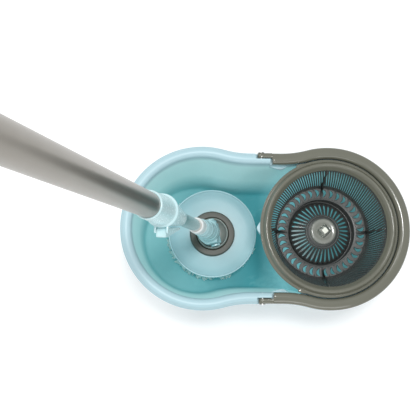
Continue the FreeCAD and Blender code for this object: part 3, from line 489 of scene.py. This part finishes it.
def make_bucket():
    """The bucket's skin: one closed profile carried round the lobed outline.

    Each row of the profile is an inset and a height over the rim's top.  The rows of the
    rim come in three forms: full, tongue and seat, and the place along X picks the form.
    The underside and the floor are rows drawn in towards the centre line.
    """
    seat_low = SEAT_Z - RIM_Z
    under = [(36.5, -RIM_Z), (33.6, 0.7 - RIM_Z), (32.7, 2.4 - RIM_Z)]
    outer = [(FOOT_INSET - TAPER * z / DEPTH, z - RIM_Z) for z in (4, 12, 40, 80, 120, 160, 190, 203)]
    channel = [
        (15.6, seat_low - 3.2), (14.8, seat_low - 3.0), (3.6, seat_low - 3.0), (2.5, seat_low - 4.2),
        (2.5, -23.2), (1.9, -24.0), (0.7, -24.0), (0.0, -23.2), (0.0, -17.0),
    ]
    crown = [(14.8, -1.2), (16.7, -2.8), (17.7, -5.0), (18.3, -8.0)]
    full = [
        (0.0, -8.6), (0.3, -7.8), (1.5, -7.4), (1.9, -6.8), (2.1, -4.8), (3.0, -2.6), (4.6, -1.0),
        (6.8, -0.2), (9.3, 0.0), (12.2, -0.3),
    ] + crown
    ledge = [(0.0, -13.4), (0.3, -12.8), (0.9, seat_low), (2.0, seat_low), (4.0, seat_low)]
    tongue = ledge + [(8.6, seat_low), (9.3, -11.6), (9.3, -1.8), (9.9, -0.3), (12.2, -0.2)] + crown
    seat = ledge + [(inset, seat_low) for inset in (6.0, 8.0, 10.0, 12.0, 14.0, 15.6)]
    seat += [(17.0, seat_low - 0.1), (18.2, seat_low - 0.9), (18.9, -16.0)]
    below_rim = np.linspace(24, RIM_Z - 12, 12)[1:]
    inner = [(RIM_WIDE + TAPER * low / DEPTH, -low) for low in below_rim]
    foot = [(35.4, 7.0 - RIM_Z), (36.8, 4.4 - RIM_Z), (39.4, 3.2 - RIM_Z), (43.0, FLOOR_Z - RIM_Z)]
    forms = np.array([under + outer + channel + form + inner + foot for form in (full, tongue, seat)])

    flat = [-24, -21, -18.5, SEAT_X - 0.45, SEAT_X + 0.45, -12, -8, -4, 0, 4]
    flat += [TONGUE_END - 0.45, TONGUE_END + 0.45, 10, 14, 19, 24]
    base, out = whole_outline(flat)
    along = base[:, 0]
    form_of = np.where(along < SEAT_X, 0, np.where(along < TONGUE_END, 1, 2))
    inset, height = np.moveaxis(forms[form_of], (0, 1, 2), (2, 1, 0))
    plan = base[None] - inset[..., None] * out[None]
    rows = np.concatenate([plan, RIM_Z + height[..., None]], axis=-1)

    shrink = np.array([(1, share, 1) for share in (0.0, 0.22, 0.45, 0.7, 0.88)])[:, None]
    grid = np.concatenate([rows[0] * shrink, rows, (rows[-1] * shrink)[::-1]])
    first_inner = len(shrink) + len(under + outer + channel + full)
    row = np.arange(len(grid))[:, None]
    # The inside attribute grows with depth below the rim; the bucket's material turns it into painted shade
    # and a painted glow.
    deep = np.clip((RIM_Z - grid[..., 2]) / DEPTH, 0, 1) ** 0.8
    inside = np.where(row >= first_inner, 0.30 + 0.70 * deep, 0.0)
    obj = mesh_object("bucket", grid.reshape(-1, 3), quads(len(grid), len(base)), crease=40, inside=inside)
    keep_piece(obj, "bucket", AQUA, ["bucket_shell"])


def make_shoulder():
    """The ledge that carries the basket ring: a rounded strip between the wall and a circle round the basket.

    Its outer edge is the outline at the wall's inset, and its inner edge is the same point
    drawn in to a circle round the basket's lobe, or beside the neck by a crescent's depth.
    """
    crescent_from, crescent_to, crescent_deep = 6.0, 38.0, 6.5
    ring_from, ring_deep, ring_inside = 56.0, 13.0, 104.0
    half, out = lobed_outline([6.5, 9, 12, 15, 18, 21, 24])
    pick = half[:, 0] > 6.2
    base, out = half[pick], out[pick]
    wall = base - (RIM_WIDE + 1.0) * out
    ray = wall - [LOBE_X, 0]
    far = np.linalg.norm(ray, axis=1, keepdims=True)
    near = wall[:, :1]
    swell = np.sin((near - crescent_from) / (crescent_to - crescent_from) * math.pi)
    crescent = crescent_deep * np.clip(swell, 0.05, 1) ** 1.3
    ledge = 0.3 + np.clip((near - ring_from) / 4, 0, 1) * (ring_deep - 0.3)
    depth = np.where(near < crescent_to, crescent, ledge)
    inner = [LOBE_X, 0] + ray * np.maximum(ring_inside / far, 1 - depth / far)
    share = soften([(0, 0), (1, 0), (1, 1), (0, 1)], [0.01, 0.12, 0.12, 0.01], 3)
    top, low = RIM_Z - 20.0, RIM_Z - 25.0
    plan = wall[:, None] * (1 - share[None, :, :1]) + inner[:, None] * share[None, :, :1]
    high = np.broadcast_to(low + (top - low) * share[None, :, 1:], plan.shape[:2] + (1,))
    half_grid = np.concatenate([plan, high], axis=-1)
    grid = np.concatenate([half_grid[:0:-1] * [1, -1, 1], half_grid])
    ends = [loop.mean(axis=1, keepdims=True) + 0 * loop for loop in (grid[:1], grid[-1:])]
    grid = np.concatenate([ends[0], grid, ends[1]])
    pale = np.zeros(grid.shape[:2])
    obj = mesh_object("ring_shoulder", grid.reshape(-1, 3), quads(len(grid), grid.shape[1]), inside=pale)
    keep_piece(obj, "bucket", AQUA)


def make_handle():
    """The carrying handle: a crowned band round the basket's lobe, half as wide at its pivots.

    The section is a loop of shares across the width and shares of the height, flatter on
    top at the tips.  Near each tip the height is drawn in as a half circle about the pivot pin.
    """
    thick, tip_wide, band_wide = 12.0, 8.65, 18.5
    tip_r = thick / 2
    round_tip = HANDLE_PIN[0] - tip_r * np.cos(np.linspace(0, math.pi / 2, 9))
    flat = np.concatenate([round_tip, [-4, 0, 5, LAP_END - 0.5, LAP_END + 0.5, 14, 19, 24]])
    half, out = lobed_outline(flat)
    pick = half[:, 0] > LAP_X - 0.2
    base, out = half[pick], out[pick]
    section = np.array([
        (0.06, 0.0), (0.015, 0.02), (0.0, 0.07), (0.0, 0.46), (0.012, 0.58), (0.05, 0.70), (0.12, 0.79),
        (0.21, 0.865), (0.32, 0.925), (0.43, 0.968), (0.54, 0.993), (0.63, 1.0), (0.72, 0.985), (0.80, 0.94),
        (0.87, 0.87), (0.93, 0.77), (0.975, 0.62), (1.0, 0.44), (1.0, 0.07), (0.985, 0.02), (0.94, 0.0),
    ])
    at_tip = base[:, :1] < LAP_END
    inset = section[None, :, 0] * np.where(at_tip, tip_wide, band_wide)
    before_pin = np.clip((HANDLE_PIN[0] - base[:, :1]) / tip_r, 0, 1)
    squeeze = np.sqrt(1 - before_pin**2)
    drop = np.maximum(1 - section[None, :, 1], 0)
    flatter = 0.35 + 0.65 * (drop * 2) ** 3
    crown = 1 - drop * np.where(at_tip & (drop < 0.5), flatter, 1.0)
    tall = (crown - 0.5) * thick * squeeze + HANDLE_PIN[2]
    plan = base[:, None] - inset[..., None] * out[:, None]
    half_grid = np.concatenate([plan, tall[..., None]], axis=-1)
    grid = np.concatenate([half_grid[:0:-1] * [1, -1, 1], half_grid])
    obj = mesh_object("carrying_handle", grid.reshape(-1, 3), quads(len(grid), grid.shape[1]))
    keep_piece(obj, "handle", WARM_GREY, ["bucket_handle"])


def make_ring():
    """The fixed ring: a smooth bead between an outer flange and an inner lip, with two wings to the neck."""
    top = RIM_Z - 5.0
    corners = [
        (108.0, RIM_Z - 20), (110.5, RIM_Z - 20), (110.5, top - 3.4), (112.5, top - 3.2), (112.5, top - 0.2),
        (108.0, top + 0.6), (106.4, top + 5.5), (104.2, top + 8.6), (102.0, top + 8.9), (99.6, top + 6.8),
        (94.5, top - 0.2), (94.5, top - 2.6), (96.2, top - 1.9), (101.0, top + 4.6), (103.4, top + 6.0),
        (106.0, top + 1.0), (108.0, top - 3.0),
    ]
    reach = [0.4, 0.4, 0.6, 0.8, 1.0, 2.2, 2.4, 1.6, 1.5, 2.0, 0.9, 0.9, 1, 1.5, 1.5, 1, 1]
    obj = turned("splash_ring", corners, reach, BASKET, count=180, steps=5, crease=60)
    keep_piece(obj, "bucket", WARM_GREY, ["basket_ring"])

    plan = soften(
        [(50.2, 102.7), (55.5, 104.3), (60.5, 105.5), (64.3, 105.5), (60.5, 95.0), (50.2, 91.0)],
        [1.2, 3, 2, 2, 3, 1], 5,
    )
    shares = [0.0, 1.0, 1.0, 0.985, 0.95, 0.0]
    heights = [top - 3.0, top - 3.0, top - 0.7, top - 0.1, top, top]
    for name, side in (("far", 1), ("near", -1)):
        wing = level_plate(f"ring_wing_{name}", plan * [1, side], shares, heights, WORLD)
        keep_piece(wing, "bucket", WARM_GREY)


# ---------------------------------------------------------------- turning basket


def pierced(name, surface, across, hole, slant=0.0, thick=1.8):
    """A skin of revolution with a hole in each of its cells.

    A cell is a square from 0 to 1 each way.  Its points run from the hole's edge, a curve
    in the square, straight out to the square's border.  `surface` takes the turn and the
    share along the profile to a point; the turn gains the slant along the profile.
    """
    rings, sides = 4, 16
    beat = np.arange(sides) * TAU / sides
    cosine, sine = np.cos(beat), np.sin(beat)
    reach = np.maximum(np.abs(cosine), np.abs(sine))
    border = 0.5 + 0.5 * np.stack([cosine, sine], axis=-1) / reach[:, None]
    share = np.linspace(0, 1, rings)[:, None, None]
    cell = hole(cosine, sine)[None] * (1 - share) + border[None] * share
    number = np.arange(across)[:, None, None]
    along = cell[None, ..., 1] + 0 * number
    turn = (number + cell[None, ..., 0] + slant * along) * TAU / across
    faces = (quads(rings, sides)[None] + number * rings * sides).reshape(-1, 4)
    obj = mesh_object(name, surface(turn, along).reshape(-1, 3), faces, crease=30)
    shell = obj.modifiers.new("wall", "SOLIDIFY")
    shell.thickness = thick * MM
    shell.offset = -1
    keep_piece(obj, "basket", DARK)
    return obj


def band(low, high):
    """A straight-sided skin of revolution between two points of radius and height."""
    low, high = np.array(low, float), np.array(high, float)

    def surface(turn, share):
        radius = low[0] + (high[0] - low[0]) * share
        height = low[1] + (high[1] - low[1]) * share
        points = np.stack([radius * np.cos(turn), radius * np.sin(turn), height + 0 * turn], axis=-1)
        return moved(points.reshape(-1, 3), BASKET).reshape(points.shape)

    return surface


def slot_hole(half_wide, half_tall):
    """A slot with round ends: a squared-off ellipse."""

    def edge(cosine, sine):
        bulge = (np.abs(cosine) ** 3 + np.abs(sine) ** 3) ** (1 / 3)
        return 0.5 + np.stack([half_wide * cosine / bulge, half_tall * sine / bulge], axis=-1)

    return edge


def drop_hole(cosine, sine):
    """A drop: an ellipse that is wide at the outer end, narrow at the inner end and bent to one side."""
    up = 0.37 * sine
    wide = 0.19 * cosine * (1 + 1.9 * up)
    return 0.5 + np.stack([wide + 2.0 * up**2 - 0.10, up], axis=-1)


def make_basket():
    """The basket: slotted wall, holed step, groove, slotted cone, rim lip, fins and sleeve."""
    top = span("spin_basket")[1][2]
    side = band((77.0, 151.0), (96.0, top - 4.5))
    wall = pierced("basket_wall", side, 140, slot_hole(0.22, 0.465), slant=2.6, thick=-1.9)
    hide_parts("spin_basket")
    pierced("basket_step", band((58.5, 147.0), (76.2, 147.4)), 36, drop_hole, thick=2.0)
    pierced("basket_cone", band((25.5, 157.6), (51.0, 128.6)), 38, slot_hole(0.21, 0.42), thick=-2.0)
    parts = {
        "basket_lip": ([
            (95.8, top - 5.2), (96.0, top - 0.8), (97.0, top), (101.2, top), (101.5, top - 2.2),
            (98.4, top - 2.4), (97.9, top - 5.2),
        ], 0.5),
        "basket_heel": ([(76.0, 147.5), (77.4, 151.6), (79.6, 151.3), (79.0, 145.0), (76.0, 144.9)], 0.6),
        "basket_groove": ([
            (58.9, 147.6), (58.9, 144.9), (58.3, 122.8), (52.0, 122.8), (50.4, 126.4), (50.8, 129.2),
            (54.2, 126.2), (54.4, 125.0), (56.3, 125.0), (56.5, 147.0),
        ], 0.5),
        "basket_collar": ([
            (9.2, 105.0), (14.0, 105.0), (14.0, 156.0), (22.0, 156.0), (26.2, 154.6), (25.8, 157.6),
            (22.6, 159.3), (9.2, 159.3),
        ], 0.6),
    }
    for name, (corners, reach) in parts.items():
        keep_piece(turned(name, corners, reach, BASKET, 144), "basket", DARK)
    outline = soften([
        (58.5, 146.6), (58.5, 149.6), (67.0, 152.6), (73.5, 156.5), (92.6, top - 4), (96.0, top - 4),
        (77.5, 146.6),
    ], [0.2, 1.2, 2, 2, 1, 0.4, 0.2], 3)
    for quarter in range(4):
        fin = upright_plate(f"basket_fin_{quarter}", outline, 2.2, BASKET, quarter * TAU / 4)
        keep_piece(fin, "basket", DARK)


def make_hub():
    """The hub's dished cap and its bright square post with a cut top.

    The post's section is a squared circle: the sum of cosine and sine to the power 9.
    """
    cap = turned("hub_cap_dish", [
        (0.0, 165.4), (12.0, 165.4), (15.0, 166.5), (19.2, 167.0), (21.7, 165.2), (22.0, 159.8),
        (17.2, 159.7), (17.2, 161.7), (0.0, 161.7),
    ], [0, 1.5, 1.5, 1.6, 1.8, 0.4, 0.2, 0.2, 0], BASKET, 96)
    keep_piece(cap, "basket", HUB_GREY, ["hub_cap"])

    post_turn, sides, power = math.radians(40), 32, 9
    local = np.linspace(0, TAU, sides, endpoint=False)
    beat = local + post_turn
    square = 1 / (np.abs(np.cos(local)) ** power + np.abs(np.sin(local)) ** power) ** (1 / power)
    rows = np.array([
        (0, 165.6), (9.0, 165.6), (9.0, 166.8), (8.25, 167.4), (8.25, 177.6), (7.8, 178.8), (4.7, 181.6),
        (4.2, 181.9), (0, 181.9),
    ])
    radius = rows[:, :1] * square
    points = np.stack([radius * np.cos(beat), radius * np.sin(beat), rows[:, 1:] + 0 * beat], axis=-1)
    uv = np.stack([beat + 0 * radius, radius], axis=-1).reshape(-1, 2)
    points = moved(points.reshape(-1, 3), BASKET)
    post = mesh_object("square_post", points, quads(len(rows), sides), crease=20, uv=uv)
    keep_piece(post, "basket", SILVER, ["drive_post"])


# ---------------------------------------------------------------- mop head

KNUCKLE_HALF = 20.5
EAR_AT = 22.6


def make_head():
    """Disc, swivel ring, and the pivot cup with its button and ears."""
    (_, _, low), (_, _, rim) = span("mop_disc")
    disc = turned("mop_dish", [
        (34.5, low), (62.0, low), (74.0, low + 3.4), (79.2, rim - 5.0), (80.0, rim - 1.6), (79.6, rim),
        (77.4, rim), (76.6, rim - 1.9), (68.0, low + 5.4), (52.0, low + 3.2), (42.0, low + 2.2),
        (34.5, low + 2.2),
    ], [0.3, 10, 5, 1.5, 0.6, 0.6, 0.6, 1.2, 7, 7, 4, 0.3], HEAD, 160, steps=6, crease=50)
    keep_piece(disc, "mop_head", DISC_AQUA, ["mop_disc"])

    (_, _, base), (_, _, top) = span("swivel_ring")
    ring = turned("swivel_collar", [
        (34.6, base), (41.0, base), (41.0, base + 4.0), (39.4, top), (30.0, top), (28.4, top - 2.0),
        (28.4, base + 1.4), (34.6, base + 1.4),
    ], [0.3, 0.5, 1.0, 0.9, 0.9, 1.0, 0.4, 0.3], HEAD, 128, steps=5, crease=50)
    keep_piece(ring, "mop_head", HEAD_GREY, ["swivel_ring"])

    base = span("pivot_cup")[0][2]
    cup = turned("pivot_dish", [
        (0, base), (34.0, base), (34.0, base + 3.3), (28.0, base + 3.4), (27.9, 49.0), (26.8, 50.0),
        (25.2, 49.6), (24.0, 45.0), (18.5, base + 5.2), (11.5, base + 4.6), (10.5, base + 3.2),
        (0, base + 3.2),
    ], [0, 0.3, 0.4, 0.3, 0.6, 0.6, 0.6, 2, 3, 0.8, 0.5, 0], HEAD, 96, steps=5, crease=50)
    keep_piece(cup, "mop_base", LIGHT_GREY, ["pivot_cup"])
    button = turned("pivot_button", [
        (0, base + 3.1), (10.3, base + 3.1), (10.0, base + 4.8), (0, base + 5.4),
    ], [0, 0.2, 0.8, 0], HEAD, 64)
    keep_piece(button, "mop_base", HEAD_GREY)

    pin_z = PIVOT[2]
    outline = soften([
        (-8, base + 2.6), (8, base + 2.6), (8, pin_z + 3), (4.6, pin_z + 7.6), (-4.6, pin_z + 7.6),
        (-8, pin_z + 3),
    ], [0.3, 0.3, 3, 3, 3, 3], 5)
    for name, side in (("far", 1), ("near", -1)):
        place = HEAD.copy()
        place[:3, 3] += TILT_SIDE * EAR_AT * side
        ear = upright_plate(f"cup_ear_{name}", outline, 3.6, place)
        keep_piece(ear, "mop_base", BLUE)


def make_yoke():
    """The yoke: a drum on the tilt pin, a block with one flat side, a ridged neck and the tube's sleeve."""
    half, sides = KNUCKLE_HALF, 64
    corners = [(0, -half), (10.4, -half), (11, 0.6 - half), (11, half - 0.6), (10.4, half), (0, half)]
    barrel = soften(corners, [0, 0.4, 0.4, 0.4, 0.4, 0], 3)
    beat = np.linspace(0, TAU, sides, endpoint=False)
    radius, side = np.maximum(barrel[:, :1], 0), barrel[:, 1:]
    drum = np.stack([radius * np.cos(beat), side + 0 * beat, radius * np.sin(beat)], axis=-1)
    knuckle = mesh_object("yoke_drum", moved(drum.reshape(-1, 3), POLE), quads(len(barrel), sides))
    keep_piece(knuckle, "lower_pole", BLUE, ["yoke"])

    plan = soften([
        (8, -half), (14, 12.5), (6, half), (-13, half), (-21.5, 10.2), (-24, 0), (-21.5, -10.2), (-13, -half),
    ], [1.5, 2.5, 2.5, 3, 5, 6, 5, 3], 4)
    shares = [0.0, 0.96, 1.0, 1.0, 0.975, 0.975, 1.0, 1.0, 0.985, 0.94, 0.0]
    heights = [2.0, 2.0, 3.0, 20.0, 21.0, 22.5, 23.5, 31.5, 33.2, 34.0, 34.0]
    block = level_plate("yoke_block", plan, shares, heights, POLE)
    keep_piece(block, "lower_pole", BLUE)

    neck = turned("yoke_neck", [
        (0, 30), (17.0, 30), (17.0, 44), (16.1, 45), (16.1, 48), (17.0, 49), (17.0, 60), (15.5, 62),
        (15.5, 84), (14.6, 85), (14.6, 88), (15.5, 89), (15.5, 110), (14.5, 112), (14.2, 149), (13.2, 151),
        (13.2, 157.5), (12.4, 158.3), (12.4, 160.4), (13.2, 161.2), (13.2, 165), (9.5, 165), (9.5, 158),
        (0, 158),
    ], 0.9, POLE, 96, steps=4)
    keep_piece(neck, "lower_pole", BLUE)
    sleeve = turned("tube_sleeve_lip", [
        (9.55, 165), (12.7, 165), (12.7, 195.5), (12.3, 198.6), (10.8, 200), (9.55, 200),
    ], [0.2, 0.3, 1.2, 1.0, 0.8, 0.3], POLE, 64)
    keep_piece(sleeve, "lower_pole", WHITE, ["tube_sleeve"])


def make_strands():
    """Microfibre strands: tubes that leave the plate, lean outwards and droop to the floor in loose waves.

    Each strand is a path of 16 points: its distance from the centre grows as a share to
    the power 0.8, its height falls along a cosine, and its bearing wanders by two sines
    with seeded sizes.  Its reach leaves the bucket's wall clear all round as the head turns.
    Seven points round each path point make the tube, thinner at the tip.
    """
    rng = np.random.default_rng(7)
    count, steps, sides = 280, 16, 7
    share = 1 - (1 - np.linspace(0, 1, steps)[None]) ** 1.6
    bearing = np.arange(count)[:, None] / count * TAU * 13 + rng.normal(0, 0.05, (count, 1))
    start = rng.uniform(26, 60, (count, 1))
    reach = rng.uniform(74, 85, (count, 1))
    long_wave, short_wave = rng.normal(0, 0.10, (count, 1)), rng.normal(0, 0.06, (count, 1))
    bearing = bearing + long_wave * np.sin(share * 3) + short_wave * np.sin(share * 8 + 1)
    far = start + (reach - start) * share**0.8
    lift = rng.uniform(0.0, 1.0, (count, 1))
    droop = 24.0 * np.cos(share * math.pi / 2) ** 0.9 * (1 - 0.3 * lift)
    height = 5.4 + lift * 12 * (1 - share) + droop - 2.4 * share
    height = np.clip(height + np.sin(share * 9 + lift * 9) * share, 7.0, 29.0)
    x = HEAD_AT[0] + far * np.cos(bearing)
    y = HEAD_AT[1] + far * np.sin(bearing)
    path = np.stack([x, y, height], axis=-1)
    ahead = np.gradient(path, axis=1)
    ahead /= np.linalg.norm(ahead, axis=-1, keepdims=True)
    side = np.cross(ahead, UP)
    side /= np.linalg.norm(side, axis=-1, keepdims=True)
    upward = np.cross(side, ahead)
    thick = rng.uniform(2.5, 3.3, (count, 1)) * np.sqrt(1.02 - share**7)
    beat = np.arange(sides) * TAU / sides
    cosine, sine = np.cos(beat)[:, None], np.sin(beat)[:, None]
    ring = (cosine * side[:, :, None] + sine * upward[:, :, None]) * thick[..., None, None]
    tubes = path[:, :, None] + ring
    ends = [path[:, at, None] + 0 * ring[:, at] for at in (slice(0, 1), slice(-1, None))]
    tubes = np.concatenate([ends[0], tubes, ends[1]], axis=1)
    rows = steps + 2
    faces = (quads(rows, sides)[None] + np.arange(count)[:, None, None] * rows * sides).reshape(-1, 4)
    length = np.linspace(0, 26, rows)[None, :, None] + 0 * tubes[..., 0]
    round_uv = np.broadcast_to(beat / TAU * 2, tubes.shape[:3])
    uv = np.stack([round_uv, length], axis=-1).reshape(-1, 2)
    obj = mesh_object("mop_yarn", tubes.reshape(-1, 3), faces, crease=80, uv=uv)
    keep_piece(obj, "mop_head", YARN, ["mop_strands"])


# ---------------------------------------------------------------- pole

LUG_AT = 7.55


def make_tubes():
    """The thin tube, which runs up inside the thick one, each with its open bore."""
    thin = drawn_tube("thin_tube", [
        (8.7, 70.2), (9.5, 70.2), (9.5, 200), (9.5, 400), (9.5, 600), (9.5, 760), (8.7, 760), (8.7, 400),
        (8.7, 70.2),
    ], POLE)
    keep_piece(thin, "lower_pole", CHROME, ["inner_tube"])
    thick = drawn_tube("thick_tube", [
        (14.2, 520), (15, 520), (15, 600), (15, 800), (15, 960), (15, 1139.6), (14.2, 1139.6), (14.2, 800),
        (14.2, 520),
    ], POLE, 96)
    keep_piece(thick, "upper_pole", CHAMPAGNE, ["outer_tube"])


def make_collar():
    """The lock collar, with its belt, the two lugs that hold the lever's pin, and the lever."""
    collar = turned("lock_collar_skin", [
        (9.95, 350), (11.2, 350), (18.6, 452), (18.8, 466), (21.0, 467.5), (21.3, 470), (21.0, 472.5),
        (18.9, 474), (18.8, 490), (16.9, 545), (17.3, 549), (16.6, 552), (15.05, 552), (15.05, 520),
        (9.95, 519),
    ], [0.3, 0.6, 5, 0.7, 1.0, 1.4, 1.0, 0.7, 5, 3, 1.2, 0.6, 0.2, 0.2, 0.2], COLLAR, 96, steps=5, crease=50)
    keep_piece(collar, "upper_pole", BLUE, ["lock_collar"])

    lug_outline = soften(
        [(-27.7, 464.5), (-27.7, 471.5), (-16.5, 471.5), (-16.5, 464.5)], [2.5, 2.5, 0.3, 0.3], 4
    )
    for name, side in (("right", 1), ("left", -1)):
        place = COLLAR.copy()
        place[:3, 3] += COLLAR[:3, 0] * (LUG_AT * side)
        lug = upright_plate(f"collar_lug_{name}", lug_outline, 2.5, place, math.pi / 2)
        keep_piece(lug, "upper_pole", BLUE)

    lever_outline = soften([
        (-21.0, 466), (-21.8, 469.5), (-25.2, 472.1), (-31.5, 472.4), (-33, 470.7), (-33, 462),
        (-16.9, 366.2), (-14.0, 366.2), (-21.2, 460),
    ], [1.5, 2, 2, 1.5, 1, 4, 1.2, 1.2, 4], 4)
    lever = upright_plate("lock_lever_plate", lever_outline, 12.0, COLLAR, math.pi / 2)
    keep_piece(lever, "lever", BLUE, ["lock_lever"])


def make_grip():
    """The rubber grip: four ribs with a groove above each, between two plain ends."""
    low, pitch, ribs = 1030.0, 20.0, 4
    corners = [(15.0, low), (16.4, low)]
    for start in low + pitch * np.arange(ribs):
        corners += [(17.4, start + 3), (17.5, start + 15), (16.3, start + 17.2), (16.3, start + 19.6)]
    last, end = low + pitch * ribs, low + pitch * (ribs + 1)
    corners += [(17.4, last + 3), (17.5, last + 15), (16.4, end), (15.0, end)]
    grip = turned("grip_sleeve", corners, 1.3, POLE, 96, steps=4, crease=60)
    keep_piece(grip, "upper_pole", RUBBER, ["hand_grip"])


def make_cap():
    """The end cap and its hanging loop, an oval wire bent to a circle."""
    cap = turned("cap_dome", [
        (0, 1138), (13.9, 1138), (13.9, 1140), (16.5, 1140), (16.5, 1147), (14.6, 1152), (9.5, 1154),
        (0, 1154),
    ], [0, 0.2, 0.2, 0.8, 2.5, 2.5, 3, 0], POLE, 96)
    keep_piece(cap, "upper_pole", BLUE, ["end_cap"])

    middle, loop_r, wire_in, wire_across = 1161.0, 10.5, 2.4, 3.3
    beat = np.linspace(0, TAU, 64, endpoint=False)
    tube = np.linspace(0, TAU, 16, endpoint=False)[:, None]
    radius = loop_r + wire_in * np.cos(tube)
    across = wire_across * np.sin(tube) + 0 * beat
    loop = np.stack([radius * np.cos(beat), across, middle + radius * np.sin(beat)], axis=-1)
    points = moved(loop.reshape(-1, 3), POLE)
    ring = mesh_object("hanging_loop", points, quads(len(tube), len(beat), closed=True), crease=60)
    keep_piece(ring, "upper_pole", BLUE)


# ---------------------------------------------------------------- build

make_bucket()
make_shoulder()
make_handle()
make_ring()
make_basket()
make_hub()
make_head()
make_yoke()
make_strands()
make_tubes()
make_collar()
make_grip()
make_cap()

carried = {
    AQUA: ["ring_catch"],
    WHITE: ["spindle_foot", "basket_bush", "strand_plate", "drive_nut", "guide_bush", "rod_plug"],
    STEEL: [
        "spindle", "thrust_ball", "foot_screws", "pivot_pins", "tilt_pin", "tube_rivet", "twisted_rod",
        "lever_pin",
    ],
}
for material, nodes in carried.items():
    for node in nodes:
        for place in frame["nodes"][node].material_slots:
            place.material = material

# ---------------------------------------------------------------- stage, lights and camera

floor_mesh = bpy.data.meshes.new("floor")
floor_corners = [(x, y, -0.0005) for x, y in ((-6, -6), (6, -6), (6, 6), (-6, 6))]
floor_mesh.from_pydata(floor_corners, [], [(0, 1, 2, 3)])
floor = bpy.data.objects.new("floor", floor_mesh)
bpy.context.scene.collection.objects.link(floor)
paper = Finish("studio_paper")
floor_mesh.materials.append(paper.set(
    Base_Color=(0.95, 0.95, 0.95, 1), Roughness=0.9, Specular_IOR_Level=0.1,
    Emission_Color=(1, 1, 1, 1), Emission_Strength=0.12,
))

world = bpy.data.worlds.new("studio")
bpy.context.scene.world = world
world.use_nodes = True
background = world.node_tree.nodes["Background"].inputs
background["Color"].default_value = (1.0, 1.0, 1.0, 1)
background["Strength"].default_value = 0.68


def softbox(name, place, aim, wide, tall, watts):
    """A rectangular light at a place, facing an aim point."""
    light = bpy.data.lights.new(name, "AREA")
    light.shape = "RECTANGLE"
    light.size, light.size_y, light.energy = wide, tall, watts
    lamp = bpy.data.objects.new(name, light)
    lamp.location = place
    lamp.rotation_euler = (Vector(aim) - Vector(place)).to_track_quat("-Z", "Y").to_euler()
    bpy.context.scene.collection.objects.link(lamp)


softbox("overhead", (-0.1, 0.15, 2.8), (0.0, 0.0, 0.1), 0.35, 0.35, 24)
softbox("key", (-1.2, 1.1, 1.9), (0, 0, 0.1), 0.8, 0.8, 9)
softbox("fill", (0.3, -1.6, 1.6), (0, 0, 0.1), 1.2, 0.5, 5)

bpy.context.scene.view_settings.view_transform = "Standard"

camera_data = bpy.data.cameras.new("camera")
camera_data.lens = 70.67
camera_data.sensor_width = 36.0
camera = bpy.data.objects.new("camera", camera_data)
camera.location = (-0.1633, -0.1469, 1.5208)
camera.rotation_euler = Euler((math.radians(7.73), math.radians(-3.07), math.radians(0.02)))
bpy.context.scene.collection.objects.link(camera)
bpy.context.scene.camera = camera
